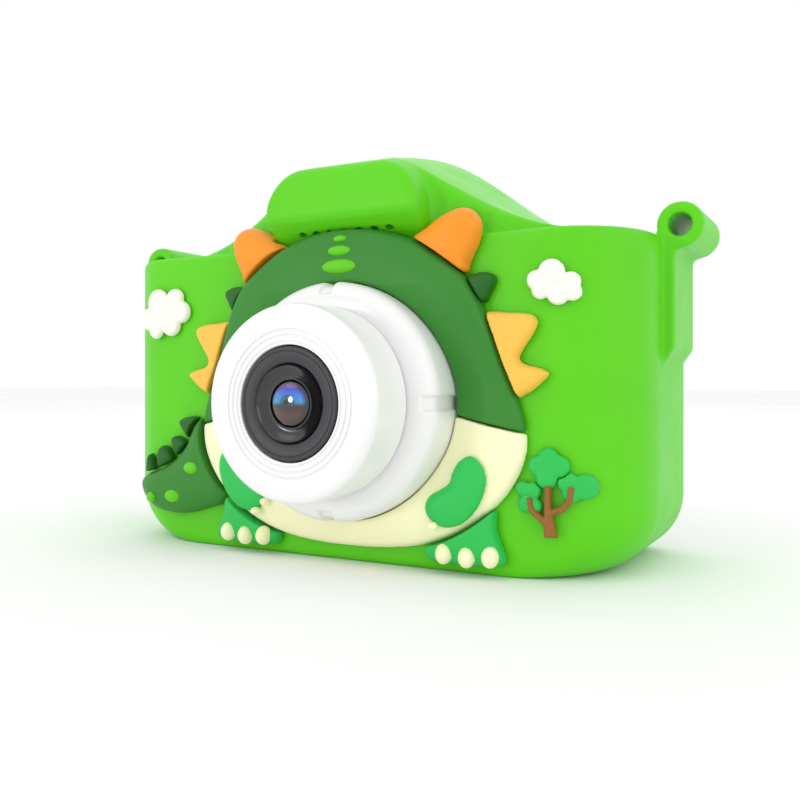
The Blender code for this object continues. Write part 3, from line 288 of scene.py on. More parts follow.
class Look:
    """A Principled material with room for procedural detail, in object coordinates."""

    def __init__(self, name, roughness=0.5, metallic=0.0):
        self.material = bpy.data.materials.new(name)
        self.material.use_nodes = True
        self.tree = self.material.node_tree
        self.shader = self.tree.nodes["Principled BSDF"]
        self.shader.inputs["Roughness"].default_value = roughness
        self.shader.inputs["Metallic"].default_value = metallic
        self.place = self.node("ShaderNodeTexCoord").outputs["Object"]

    def node(self, kind, **settings):
        made = self.tree.nodes.new(kind)
        for key, value in settings.items():
            setattr(made, key, value)
        return made

    def link(self, source, target):
        self.tree.links.new(source, target)

    def noise(self, scale, detail=2.0, roughness=0.5, stretch=None):
        """A noise value; scale is in waves per metre."""
        texture = self.node("ShaderNodeTexNoise")
        texture.inputs["Scale"].default_value = scale
        texture.inputs["Detail"].default_value = detail
        texture.inputs["Roughness"].default_value = roughness
        place = self.place
        if stretch:
            mapping = self.node("ShaderNodeMapping")
            mapping.inputs["Scale"].default_value = stretch
            self.link(self.place, mapping.inputs["Vector"])
            place = mapping.outputs["Vector"]
        self.link(place, texture.inputs["Vector"])
        return texture.outputs["Fac"]

    def ramp(self, value, stops):
        """Colours at places along a value."""
        made = self.node("ShaderNodeValToRGB")
        band = made.color_ramp
        while len(band.elements) < len(stops):
            band.elements.new(0.5)
        for element, (place, colour) in zip(band.elements, stops):
            element.position = place
            element.color = colour
        self.link(value, made.inputs["Fac"])
        return made.outputs["Color"]

    def remap(self, value, low, high, from_low=0.3, from_high=0.7):
        made = self.node("ShaderNodeMapRange")
        made.inputs["From Min"].default_value = from_low
        made.inputs["From Max"].default_value = from_high
        made.inputs["To Min"].default_value = low
        made.inputs["To Max"].default_value = high
        self.link(value, made.inputs["Value"])
        return made.outputs["Result"]

    def bump(self, value, distance, strength=1.0):
        made = self.node("ShaderNodeBump")
        made.inputs["Distance"].default_value = distance
        made.inputs["Strength"].default_value = strength
        self.link(value, made.inputs["Height"])
        previous = self.shader.inputs["Normal"].links
        if previous:
            self.link(previous[0].from_socket, made.inputs["Normal"])
        self.link(made.outputs["Normal"], self.shader.inputs["Normal"])

    def colour(self, socket):
        self.link(socket, self.shader.inputs["Base Color"])

    def roughness(self, socket):
        self.link(socket, self.shader.inputs["Roughness"])

    def value(self, socket_name, value):
        self.shader.inputs[socket_name].default_value = value


def shade(colour, factor):
    return (*(min(channel * factor, 1.0) for channel in colour[:3]), 1.0)


def silicone(name, colour, roughness=0.42):
    """Soft-touch moulded silicone: slow drifts of pigment and gloss, and a fine matt grain."""
    look = Look(name, roughness)
    drift = look.noise(55, 3.0)
    look.colour(look.ramp(drift, [(0.3, shade(colour, 0.955)), (0.7, shade(colour, 1.03))]))
    gloss = look.noise(140, 4.0, 0.6)
    look.roughness(look.remap(gloss, roughness - 0.05, roughness + 0.06))
    look.bump(look.noise(2600, 2.0), 0.000012, 0.5)
    look.bump(look.noise(240, 2.0), 0.00004, 0.25)
    look.value("Specular IOR Level", 0.3)
    look.value("Sheen Weight", 0.03)
    look.value("Sheen Roughness", 0.5)
    return look.material


def plastic(name, colour, roughness=0.25, grain=0.000006, coat=0.0):
    """Moulded plastic: faint flow marks, small scuffs in the gloss and a light texture."""
    look = Look(name, roughness)
    drift = look.noise(70, 4.0, 0.55)
    look.colour(look.ramp(drift, [(0.3, shade(colour, 0.97)), (0.7, shade(colour, 1.02))]))
    scuffs = look.noise(900, 4.0, 0.6, (1.0, 1.0, 0.5))
    look.roughness(look.remap(scuffs, roughness - 0.015, roughness + 0.03, 0.35, 0.75))
    look.bump(look.noise(3200, 2.0), grain, 0.5)
    look.value("Coat Weight", coat)
    look.value("Coat Roughness", 0.12)
    return look.material


def metal(name, colour, roughness, stretch=(1.0, 1.0, 0.05)):
    """Plated or drawn metal with fine lines along one direction."""
    look = Look(name, roughness, 1.0)
    lines = look.noise(1800, 4.0, 0.6, stretch)
    look.colour(look.ramp(lines, [(0.3, shade(colour, 0.86)), (0.7, shade(colour, 1.05))]))
    look.roughness(look.remap(lines, roughness - 0.08, roughness + 0.12))
    look.bump(lines, 0.000008, 0.6)
    return look.material


GREEN = silicone("silicone_green", srgb(92, 206, 8))
SPOT_GREEN = silicone("silicone_spot_green", srgb(100, 204, 20))
HOOD_GREEN = silicone("silicone_hood_green", srgb(52, 132, 42))
SPIKE_GREEN = silicone("silicone_spike_green", srgb(32, 100, 28))
MINT = silicone("silicone_mint", srgb(44, 192, 84))
CREAM = silicone("silicone_cream", srgb(252, 250, 205))
ORANGE = silicone("silicone_orange", srgb(248, 150, 34))
YELLOW = silicone("silicone_yellow", srgb(250, 194, 80))
CLOUD = silicone("silicone_cloud", srgb(253, 246, 236))
BROWN = silicone("silicone_brown", srgb(150, 98, 44))
WHITE = plastic("moulded_white", srgb(240, 240, 240), 0.3, coat=0.15)
BEZEL = plastic("bezel_grey", srgb(48, 48, 52), 0.42, 0.00001)
BLACK = plastic("moulded_black", srgb(26, 26, 27), 0.42, 0.00001)
GLOSS_BLACK = plastic("gloss_black", srgb(20, 19, 24), 0.16, 0.000003, 0.6)
STEEL = metal("plated_steel", srgb(205, 206, 210), 0.26)
FOIL = metal("battery_foil", srgb(188, 190, 194), 0.38, (0.2, 1.0, 1.0))


# ---------------------------------------------------------------- sleeve
def case_side(y, offset=0.0):
    """How far the case's side stands in from its widest at depth y."""
    front, rear = FRONT + offset, REAR - offset
    ahead = FRONT_FILLET - offset
    behind = max(REAR_FILLET - offset, 0.5)
    a = np.clip((front + ahead - y) / ahead, 0, 1)
    b = np.clip((y - (rear - behind)) / behind, 0, 1)
    return ahead * (1 - np.sqrt(1 - a**2)) + behind * (1 - np.sqrt(1 - b**2))


def case_field(x, y, z, offset=0.0, edge=1.0):
    """The case form, moved inwards by offset, with its front and rear edges rounded."""
    half = CASE_HALF - offset - case_side(y, offset)
    corner = max(LOWER_CORNER - offset, 1.0)
    top_corner = np.minimum(1.2, half)
    radius = np.where(z > CASE_HEIGHT / 2, top_corner, corner)
    low, high = offset, CASE_HEIGHT - offset
    px = np.abs(x) - (half - radius)
    pz = np.abs(z - (low + high) / 2) - ((high - low) / 2 - radius)
    section = np.hypot(np.maximum(px, 0), np.maximum(pz, 0))
    section = section + np.minimum(np.maximum(px, pz), 0) - radius
    step = 0.05
    slope = (case_side(y + step, offset) - case_side(y - step, offset)) / (2 * step)
    steep = np.where(px > pz, np.hypot(1.0, np.clip(slope, -6, 6)), 1.0)
    section = section / steep
    depth = np.maximum(FRONT + offset - y, y - (REAR - offset))
    return round_overlap(section, depth, edge)


def hump_crest(y):
    """Height of the hump's crest at depth y."""
    start, peak = FRONT - HUMP_NOSE, REAR - HUMP_BACK
    run = np.clip((y - start) / (peak - start), 0, 1)
    rising = HUMP_TOP - (HUMP_TOP - NOSE_TOP) * (1 - run) ** 1.4
    fall = np.clip((y - peak) / HUMP_BACK, 0, 1)
    falling = CASE_HEIGHT + (HUMP_TOP - CASE_HEIGHT) * np.sqrt(1 - 0.9 * fall**2)
    return np.where(y <= peak, rising, falling)


def hump_field(x, y, z):
    """The raised viewfinder form: a nose block that flares into a bell."""
    across = np.abs(x - LENS_X)
    top = hump_crest(y)
    flare = np.sin(np.pi / 2 * np.clip((y - FRONT) / HUMP_FLARE, 0, 1))
    t = np.linspace(0, 1, 121)
    angle = np.pi / 2 * np.clip((t - 0.25) / 0.75, 0, 1)
    round_off = NOSE_FLAT + (NOSE_HALF - NOSE_FLAT) * np.sin(angle)
    flat = np.where(t < 0.25, NOSE_FLAT * t / 0.25, round_off)
    swell = 0.5 * (1 + np.cos(np.pi * t**HUMP_SWELL))
    foot = CASE_HEIGHT - 0.6
    roof = np.empty(np.broadcast_shapes(x.shape, y.shape))
    for j in range(y.shape[1]):
        crest, share = top[0, j, 0], flare[0, j, 0]
        nose_z = NOSE_LOW + (crest - NOSE_LOW) * np.cos(angle)
        bell_z = foot + (crest - foot) * swell
        reach = flat + (HUMP_FOOT * t - flat) * share
        height = nose_z + (bell_z - nose_z) * share
        roof[:, j, 0] = np.interp(across[:, 0, 0], reach, height, right=foot - 4)
    slope = np.abs(np.gradient(roof, axis=0)) / GRID_STEP["sleeve"]
    above = (z - roof) / np.hypot(1.0, np.clip(slope, 0, 5))
    side = across - (NOSE_HALF + (HUMP_FOOT - NOSE_HALF) * flare)
    ends = np.maximum(FRONT - HUMP_NOSE - y, y - REAR + 0.2)
    ahead = np.clip((FRONT - y) / HUMP_NOSE, 0, 1)
    under = (CASE_HEIGHT - 0.4 + (NOSE_LOW - CASE_HEIGHT + 0.4) * ahead) - z
    under = np.where(y < FRONT, under * 0.83, CASE_HEIGHT - 4 - z)
    body = round_overlap(above, np.maximum(side, -60.0), 0.6)
    body = round_overlap(body, ends, 1.1)
    return round_overlap(body, under, 0.7)


def eyelet_field(x, y, z, side):
    """A strap eyelet: a ring on a tapering web, running front to back."""
    px = side * x
    ring = np.hypot(px - EYELET_X, z - EYELET_Z) - EYELET_RADIUS
    inner = CASE_HALF - 1.5
    web = [(inner, EYELET_Z - WEB_DROP - WEB_CHAMFER), (WEB_X, EYELET_Z - WEB_DROP)]
    web += [(WEB_X, EYELET_Z - 1.4), (inner, EYELET_Z - 2.2)]
    plate = polygon_field(px[:, 0, :], z[:, 0, :] + 0 * px[:, 0, :], web)[:, None, :]
    shape = union(ring, plate, 1.3)
    middle = EYELET_FRONT + EYELET_LENGTH / 2
    shape = round_overlap(shape, np.abs(y - middle) - EYELET_LENGTH / 2, 0.35)
    bore = EYELET_HOLE - np.hypot(px - EYELET_X, z - EYELET_Z)
    return round_overlap(shape, bore, 0.25)


GRID_STEP = {"sleeve": 0.4}


def port_field(x, y, z):
    """The slot through the left side round the ports."""
    usb_low, usb_high = box_mm("usb_port")
    card_low, _ = box_mm("memory_card")
    low = (-CASE_HALF - 4, usb_low[1] - 1.6, card_low[2] - 1.6)
    high = (-CASE_HALF + WALL + 1, usb_high[1] + 1.9, usb_high[2] + 1.6)
    return box_field(x, y, z, low, high, 1.3)


def silicone_sleeve():
    step = GRID_STEP["sleeve"]
    grid = Grid(SLEEVE_LOW, SLEEVE_HIGH, step)
    x, y, z = grid.x, grid.y, grid.z
    shape = case_field(x, y, z)
    shape = union(shape, hump_field(x, y, z), 1.1)
    for side in (-1, 1):
        shape = union(shape, eyelet_field(x, y, z, side), 0.5)
        hole = np.hypot(side * x - EYELET_X, z - EYELET_Z) - EYELET_HOLE
        along = np.abs(y - EYELET_FRONT - EYELET_LENGTH / 2) - EYELET_LENGTH / 2 - 1
        shape = minus(shape, np.maximum(hole, along))
    cavity = case_field(x, y, z, WALL, 0.3)
    shape = minus(shape, np.maximum(cavity, y - (REAR - REAR_LIP)))
    low = (-CASE_HALF + RIM, REAR - REAR_LIP - 4, RIM)
    high = (CASE_HALF - RIM, REAR + 6, CASE_HEIGHT - RIM)
    shape = round_overlap(shape, -box_field(x, y, z, low, high, 3.5), 0.7)
    lens_hole = np.hypot(x - LENS_X, z - LENS_Z) - RING_RADIUS - GAP
    lens_hole = np.maximum(lens_hole, y - FRONT - WALL - 2)
    shape = minus(shape, lens_hole)
    shape = round_overlap(shape, -port_field(x, y, z), 0.5)
    for name in ("shutter_button", "power_button"):
        button_low, button_high = box_mm(name)
        cx, cy = (button_low[:2] + button_high[:2]) / 2
        shaft = (button_high[0] - button_low[0]) / 2 - 0.8
        well = np.maximum(np.hypot(x - cx, y - cy) - shaft - GAP, CASE_HEIGHT - WALL - 2 - z)
        shape = round_overlap(shape, -well, 0.35)
    speaker_low, speaker_high = box_mm("speaker")
    room = box_field(x, y, z, speaker_low - (3, 1.5, 3), speaker_high + (3, 3, 4), 0.5)
    shape = minus(shape, room)
    made = net("sleeve_skin", shape, grid, 2, (SLEEVE_LOW, SLEEVE_HIGH))
    drill_sound_holes(made)
    return finish_piece(made, GREEN, replaced=("silicone_sleeve",))


def drill_sound_holes(sleeve):
    """A row of small holes up into the nose block, behind its lower front edge."""
    drill = bmesh.new()
    bore = SOUND_RADIUS * MM
    for k in range(SOUND_HOLES):
        x = LENS_X + (k - SOUND_HOLES // 2) * SOUND_PITCH
        place = (x * MM, (FRONT - SOUND_SETBACK) * MM, (CASE_HEIGHT + 3.0) * MM)
        made = bmesh.ops.create_cone(
            drill, cap_ends=True, segments=20, radius1=bore, radius2=bore, depth=4 * MM
        )
        bmesh.ops.translate(drill, verts=made["verts"], vec=place)
    mesh = bpy.data.meshes.new("sound_drill")
    drill.to_mesh(mesh)
    drill.free()
    cutter = bpy.data.objects.new("sound_drill", mesh)
    bpy.context.scene.collection.objects.link(cutter)
    step = sleeve.modifiers.new("holes", "BOOLEAN")
    step.operation = "DIFFERENCE"
    step.object = cutter
    step.solver = "EXACT"
    apply_modifiers(sleeve)
    bpy.data.objects.remove(cutter)


def apply_modifiers(made):
    shown = made.evaluated_get(bpy.context.evaluated_depsgraph_get())
    final = bpy.data.meshes.new_from_object(shown)
    made.modifiers.clear()
    made.data = final
    final.shade_smooth()
    return made


# ---------------------------------------------------------------- relief outlines (mm)
# Outlines of the animal are (distance from the lens axis, height); the rest are (x, height).
EGG = ((0, 48.9), (5.5, 48.2), (11, 46.3), (15.5, 43.5), (18.6, 40.7), (20.8, 37.2), (22.4, 33.3))
EGG += ((24.0, 29.0), (25.8, 24.8), (27.0, 21.0), (27.2, 17.5), (26.1, 14.0), (23.8, 10.6))
EGG += ((20.4, 7.6), (16.2, 5.1), (11.5, 3.5), (6.0, 2.7), (0, 2.5))
SEAM_MIDDLE, SEAM_SIDE, SEAM_REACH = 25.5, 17.2, 40.0
# full thickness, the height where it holds, and how much is lost beside the lens and at its ring
HOOD_THICK, HOOD_FULL_Z, HOOD_FALL, HOOD_RING_FALL = 3.8, 40.0, 1.6, 1.3
BELLY_THICK, BELLY_FULL_Z, BELLY_FALL, BELLY_RING_FALL = 3.0, 8.0, 0.9, 1.1
HOOD_FADE, BELLY_FADE, RING_FADE = 14.0, 10.0, 5.0
HORN = ((18.2, 41.2), (19.3, 43.0), (20.5, 45.5), (20.9, 47.8), (19.8, 49.7))
HORN += ((18.0, 50.4), (15.6, 49.8), (13.0, 48.3), (10.2, 46.2), (12.5, 43.0))
CHEEK_SPIKE = ((17.5, 40.6), (20.4, 41.4), (22.1, 41.2), (23.0, 40.3))
CHEEK_SPIKE += ((22.3, 38.6), (21.0, 37.0), (18.0, 38.0))
SIDE_FIN = ((20.5, 35.5), (25.2, 35.7), (27.8, 35.4), (28.7, 34.4), (28.1, 32.8))
SIDE_FIN += ((26.8, 30.9), (26.2, 29.6), (27.0, 28.8), (29.1, 28.25), (30.2, 27.6))
SIDE_FIN += ((29.4, 26.5), (27.3, 24.9), (24.0, 24.0), (21.0, 30.0))
ARM = ((20.2, 16.6), (21.8, 15.4), (22.4, 13.2), (21.7, 10.6), (20.3, 8.5))
ARM += ((18.4, 7.1), (16.0, 6.7), (14.1, 7.7), (13.4, 9.2), (14.0, 10.8))
ARM += ((15.6, 11.8), (17.0, 12.8), (17.5, 14.2), (18.5, 15.8))
FOOT = ((22.6, 9.4), (23.0, 6.5), (23.9, 4.0), (24.3, 2.2), (22.5, 1.5), (18.2, 1.3))
FOOT += ((13.8, 1.5), (12.4, 2.4), (12.6, 4.2), (13.0, 6.0), (18.0, 9.0))
TAIL = ((-21.5, 20.5), (-25.4, 20.0), (-27.7, 16.1), (-30.4, 13.5), (-33.7, 11.9))
TAIL += ((-36.9, 11.0), (-38.3, 10.0), (-38.4, 8.8), (-37.3, 7.2), (-34.7, 5.6))
TAIL += ((-31.4, 4.9), (-27.7, 5.0), (-23.1, 6.2), (-19.2, 7.9), (-17.0, 14.0))
TAIL_SPIKES = (
    ((-25.4, 20.6), (-27.7, 20.7), (-29.1, 20.1), (-28.8, 18.9), (-27.0, 17.0), (-26.0, 18.0)),
    ((-27.6, 16.4), (-29.5, 17.5), (-30.8, 17.3), (-30.8, 16.2), (-29.6, 14.1), (-28.6, 14.8)),
    ((-30.5, 13.6), (-31.5, 15.4), (-32.9, 15.9), (-33.9, 14.8), (-33.7, 12.2), (-32.0, 12.4)),
    ((-34.7, 11.7), (-35.3, 13.8), (-36.1, 14.4), (-36.8, 13.4), (-37.0, 11.2), (-36.0, 11.0)),
)
TAIL_SPOTS = ((-25.6, 12.6, 1.5, 1.05), (-29.5, 7.9, 1.6, 1.1), (-34.2, 7.4, 1.0, 0.9))
# height, half width, half height, and the level of the hood under it
FOREHEAD_SPOTS = ((47.0, 1.25, 0.6, 3.7), (45.25, 2.15, 0.85, 3.95), (43.0, 3.1, 1.15, 4.05))
TOES = {
    "left": ((21.2, 3.2), (17.9, 2.9), (14.5, 3.1)),
    "right": ((22.7, 3.2), (19.3, 2.9), (15.9, 3.1)),
}
TOE_LIFT = 2.3
TOE_RADII = (1.15, 1.45, 1.45)
CLAW_LIFT = 3.9
CLAW_RADII = (0.75, 0.8, 0.6)
CLAW_STEP = 0.12
CLAWS = {"left": ((-13.2, 8.4), (-14.9, 6.9)), "right": ((14.9, 6.9),)}
RIGHT_CLOUD = ((33.8, 40.8, 1.8), (31.8, 39.9, 1.35), (36.3, 39.6, 1.25))
RIGHT_CLOUD += ((36.5, 38.2, 1.2), (34.7, 38.0, 1.5), (32.4, 38.6, 1.3))
LEFT_CLOUD = ((-34.4, 39.4, 2.4), (-30.5, 40.0, 1.7), (-29.2, 37.8, 1.8))
LEFT_CLOUD += ((-31.4, 35.8, 1.9), (-34.8, 35.2, 1.7), (-37.2, 36.9, 1.9), (-33.2, 37.6, 2.4))
TRUNK = ((33.0, 6.1), (34.7, 6.15), (34.1, 9.0), (35.5, 9.5), (36.7, 11.0), (36.9, 12.9))
TRUNK += ((36.1, 12.9), (35.9, 11.3), (35.1, 10.3), (33.95, 9.9), (33.9, 12.9))
TRUNK += ((33.1, 12.9), (33.0, 8.8), (31.6, 9.9))
TRUNK += ((31.3, 11.2), (30.6, 11.2), (30.9, 9.4), (32.9, 7.7))
LEAVES = {
    "top": ((33.4, 16.4, 1.45), (32.0, 15.4, 1.35), (34.8, 15.4, 1.45), (33.2, 13.9, 1.5)),
    "right": ((35.9, 13.4, 1.35), (38.0, 12.8, 1.7), (36.4, 11.9, 1.2)),
    "left": ((29.9, 12.3, 1.05), (31.3, 12.1, 1.2), (30.4, 10.3, 1.2), (31.7, 10.1, 1.0)),
}
FINE = 0.2


# ---------------------------------------------------------------- relief
def case_front(x):
    """Depth of the case's front at distance x from its middle."""
    past = np.clip(np.abs(x) - (CASE_HALF - FRONT_FILLET), 0, FRONT_FILLET - 0.01)
    return FRONT + FRONT_FILLET - np.sqrt(FRONT_FILLET**2 - past**2)


def on_face(points, side=1):
    return [(LENS_X + side * dx, z) for dx, z in points]


def crown(plan, edge, thick, reach):
    """Height of a cushioned surface: edge at its outline, thick from reach inwards."""
    share = np.clip(-plan / reach, 0, 1)
    return edge + (thick - edge) * np.sqrt(1 - (1 - share) ** 2)


class Panel:
    """A relief piece over the case's front, drawn in (x, z) and given a height."""

    def __init__(self, name, low, high, deepest, step=None):
        self.name = name
        rear = FRONT if max(abs(low[0]), abs(high[0])) < CASE_HALF - FRONT_FILLET else FRONT + 4
        near, far = (low[0], FRONT - deepest, low[1]), (high[0], rear, high[1])
        self.grid = Grid(near, far, step or FINE)
        self.x, self.y, self.z = self.grid.x, self.grid.y, self.grid.z
        self.across = self.x[:, 0, :]
        self.up = self.z[:, 0, :]

    def outline(self, points):
        return polygon_field(self.across, self.up, list(points))[:, None, :]

    def lobes(self, rows, blend=0.25):
        plan = None
        for cx, cz, radius in rows:
            disc = np.hypot(self.x - cx, self.z - cz) - radius
            plan = disc if plan is None else union(plan, disc, blend)
        return plan

    def solid(self, plan, height, base=GAP, edge=0.5):
        skin = case_front(self.x) - base
        front = round_overlap(plan, skin - height - self.y, edge)
        return np.maximum(front, self.y - skin)

    def add(self, shape, look, slot, *nodes):
        made = net(self.name, shape, self.grid, 2)
        return finish_piece(made, look, replaced=nodes)


def panel_round(name, outline, deepest, step=None):
    xs, zs = zip(*outline)
    return Panel(name, (min(xs), min(zs)), (max(xs), max(zs)), deepest, step)


def lens_gap(panel):
    return np.hypot(panel.x - LENS_X, panel.z - LENS_Z) - RING_RADIUS - RING_GAP


def hump_gap(panel):
    """The room that the hump's nose block takes, with a small clearance round it."""
    slope = (NOSE_LOW - CASE_HEIGHT) / HUMP_NOSE
    under = CASE_HEIGHT - 0.7 + slope * (FRONT - panel.y) - panel.z
    return np.maximum(np.abs(panel.x - LENS_X) - NOSE_HALF - GAP, under)


def egg_outline():
    right = list(EGG)
    left = [(-dx, z) for dx, z in right[-2:0:-1]]
    return smooth_outline(on_face(right + left))


def seam(panel):
    drop = (SEAM_MIDDLE - SEAM_SIDE) / SEAM_REACH
    return (panel.z - SEAM_MIDDLE + drop * np.abs(panel.x - LENS_X)) / math.hypot(1, drop)


def hood_and_belly():
    egg = egg_outline()
    hood = panel_round("hood_skin", egg, 5, FINE * 1.25)
    plan = hood.outline(egg)
    away = np.clip(lens_gap(hood) / RING_FADE, 0, 1)
    beside = np.clip((HOOD_FULL_Z - hood.z) / HOOD_FADE, 0, 1)
    thick = HOOD_THICK - beside * (HOOD_FALL + HOOD_RING_FALL * (1 - away))
    shape = hood.solid(plan, crown(plan, 2.4 - 1.1 * beside, thick, 5.0), edge=0.9)
    shape = round_overlap(shape, -seam(hood), 0.25)
    shape = minus(round_overlap(shape, -lens_gap(hood), 0.3), hump_gap(hood))
    hood.add(shape, HOOD_GREEN, "dark_green_silicone", "dino_hood")

    belly = panel_round("belly_skin", egg, 5, FINE * 1.25)
    away = np.clip(lens_gap(belly) / RING_FADE, 0, 1)
    beside = np.clip((belly.z - BELLY_FULL_Z) / BELLY_FADE, 0, 1)
    thick = BELLY_THICK - beside * (BELLY_FALL + BELLY_RING_FALL * (1 - away))
    shape = belly.solid(plan, crown(plan, 0.9, thick, 5.0), edge=0.8)
    shape = round_overlap(shape, seam(belly) + GAP, 0.25)
    belly.add(round_overlap(shape, -lens_gap(belly), 0.3), CREAM, "cream_silicone", "dino_belly")


def paired_pieces():
    """What the animal has on both sides of the lens, cut back from its body."""
    # name, outline, height at its edge and in full, reach between them, edge round, look, slot
    rows = (
        ("horn", HORN, 0.5, 3.4, 3.6, 0.9, ORANGE, "orange_silicone"),
        ("cheek_spike", CHEEK_SPIKE, 0.5, 2.1, 2.2, 0.8, SPIKE_GREEN, "spike_green_silicone"),
        ("side_fin", SIDE_FIN, 0.8, 2.0, 1.8, 0.6, YELLOW, "yellow_silicone"),
        ("foot", FOOT, 0.9, 2.5, 3.4, 0.8, MINT, "mint_silicone"),
    )
    egg = egg_outline()
    for side, word in ((-1, "left"), (1, "right")):
        for name, points, low, thick, reach, edge, look, slot in rows:
            outline = smooth_outline(on_face(points, side))
            piece = panel_round(f"{name}_skin_{word}", outline, thick + 1)
            plan = piece.outline(outline)
            shape = piece.solid(plan, crown(plan, low, thick, reach), edge=edge)
            shape = minus(shape, piece.outline(egg) - GAP, 0.1)
            if name == "horn":
                shape = minus(shape, hump_gap(piece))
            if name == "foot" and side < 0:
                shape = minus(shape, piece.outline(smooth_outline(TAIL)) - GAP, 0.1)
            piece.add(shape, look, slot, f"{name}_{word}")
        arm(side, word)
        toes(side, word)


def arm(side, word):
    outline = smooth_outline(on_face(ARM, side))
    piece = panel_round(f"arm_skin_{word}", outline, 5.5)
    plan = piece.outline(outline)
    shape = piece.solid(plan, crown(plan, 0.35, 1.25, 2.2), base=2.9, edge=0.45)
    shape = np.maximum(minus(shape, lens_gap(piece), 0.1), piece.y - (FRONT - 0.9))
    piece.add(shape, MINT, "mint_silicone", f"arm_{word}")
    claws = CLAWS[word]
    xs = [LENS_X + dx for dx, _ in claws]
    zs = [z for _, z in claws]
    near, far = (min(xs) - 1, min(zs) - 1), (max(xs) + 1, max(zs) + 1)
    panel = Panel(f"claws_{word}", near, far, 5.4, CLAW_STEP)
    shape = None
    for x, z in zip(xs, zs):
        claw = blob(panel, (x, FRONT - CLAW_LIFT, z), CLAW_RADII)
        shape = claw if shape is None else union(shape, claw, 0.3)
    panel.add(shape, CREAM, "cream_silicone")


def blob(panel, middle, radii):
    """An egg shape, as a distance field near its surface."""
    scaled = [(v - m) / r for v, m, r in zip((panel.x, panel.y, panel.z), middle, radii)]
    reach = np.sqrt(sum(s**2 for s in scaled))
    return (reach - 1) * min(radii)


def toes(side, word):
    centres = on_face(TOES[word], side)
    xs, zs = zip(*centres)
    near, far = (min(xs) - 1.5, min(zs) - 2), (max(xs) + 1.5, max(zs) + 2)
    panel = Panel(f"toes_skin_{word}", near, far, 6.6)
    level = FRONT - TOE_LIFT
    low = (min(xs), level - 0.1, zs[1] - 0.5)
    high = (max(xs), level + 0.6, zs[1] + 0.5)
    shape = box_field(panel.x, panel.y, panel.z, low, high, 0.2)
    for x, z in centres:
        shape = union(shape, blob(panel, (x, level - 0.1, z - 0.1), TOE_RADII), 0.2)
    shape = np.maximum(shape, panel.y - level - 0.6)
    panel.add(shape, CREAM, "cream_silicone", f"toes_{word}")


def tail():
    outline = smooth_outline(TAIL)
    egg = egg_outline()
    piece = panel_round("tail_skin", outline, 4)
    plan = piece.outline(outline)
    shape = piece.solid(plan, crown(plan, 0.5, 2.3, 4.0), edge=0.7)
    shape = minus(shape, piece.outline(egg) - GAP, 0.1)
    piece.add(shape, HOOD_GREEN, "dark_green_silicone", "dino_tail")
    for k, points in enumerate(TAIL_SPIKES):
        spike = smooth_outline(points)
        panel = panel_round(f"tail_spike_skin_{k + 1}", spike, 3, FINE * 0.8)
        plan = panel.outline(spike)
        shape = panel.solid(plan, crown(plan, 0.4, 1.7, 1.3), edge=0.5)
        shape = minus(shape, panel.outline(outline) - GAP, 0.1)
        shape = minus(shape, panel.outline(egg) - GAP, 0.1)
        panel.add(shape, SPIKE_GREEN, "spike_green_silicone", f"tail_spike_{k + 1}")
    for k, (x, z, half_x, half_z) in enumerate(TAIL_SPOTS):
        spot(f"tail_spot_{k + 1}", x, z, half_x, half_z, 2.6)
    for k, (z, half_x, half_z, base) in enumerate(FOREHEAD_SPOTS):
        spot(f"forehead_spot_{k + 1}", LENS_X, z, half_x, half_z, base)


def spot(node, x, z, half_x, half_z, base):
    """A low oval button that follows the surface under it."""
    low, high = (x - half_x, z - half_z), (x + half_x, z + half_z)
    panel = Panel(node + "_skin", low, high, base + 1.4, 0.12)
    reach = np.hypot((panel.x - x) / half_x, (panel.z - z) / half_z)
    plan = (reach - 1) * min(half_x, half_z)
    height = 1.0 * np.sqrt(np.clip(1 - reach**2, 0, 1)) + 0.1
    shape = panel.solid(plan, height, base=base - 0.5, edge=0.12)
    panel.add(shape, SPOT_GREEN, "green_silicone", node)


def clouds_and_tree():
    for word, rows in (("left", LEFT_CLOUD), ("right", RIGHT_CLOUD)):
        panel = Panel(f"cloud_skin_{word}", *lobe_bounds(rows), 2.2, FINE * 0.8)
        plan = panel.lobes(rows)
        shape = panel.solid(plan, crown(plan, 0.5, 1.15, 1.3), edge=0.45)
        panel.add(shape, CLOUD, "cloud_silicone", f"cloud_{word}")
    earlier = []
    for word, rows in LEAVES.items():
        panel = Panel(f"leaves_skin_{word}", *lobe_bounds(rows), 1.8, FINE * 0.8)
        plan = panel.lobes(rows)
        shape = panel.solid(plan, crown(plan, 0.35, 0.75, 0.9), edge=0.3)
        for other in earlier:
            shape = minus(shape, panel.lobes(LEAVES[other]) - 0.1, 0.1)
        earlier.append(word)
        panel.add(shape, MINT, "mint_silicone", f"tree_leaves_{word}")
    xs, zs = zip(*TRUNK)
    panel = Panel("trunk_skin", (min(xs), min(zs)), (max(xs), max(zs)), 2.8, 0.13)
    plan = panel.outline(TRUNK)
    shape = panel.solid(plan, crown(plan, 0.8, 1.15, 0.6), base=0.35, edge=0.25)
    panel.add(shape, BROWN, "brown_silicone", "tree_trunk")


def lobe_bounds(rows):
    low = (min(x - r for x, _, r in rows), min(z - r for _, z, r in rows))
    high = (max(x + r for x, _, r in rows), max(z + r for _, z, r in rows))
    return low, high


# ---------------------------------------------------------------- lens
RIDGES = (9.77, 9.02, 8.24)
NECK_STEP, BARREL_WALL = 1.1, 2.8
RIDGE_WIDTH = 0.34
RIDGE_DEPTH = 0.2
SEGMENTS = 160
BEZEL_GROOVE = 0.62  # how far the thin groove lies in from the bezel's edge
BOWL_RADIUS = 5.3
BOWL_DEPTH = 0.95
BOWL_STEPS = 12


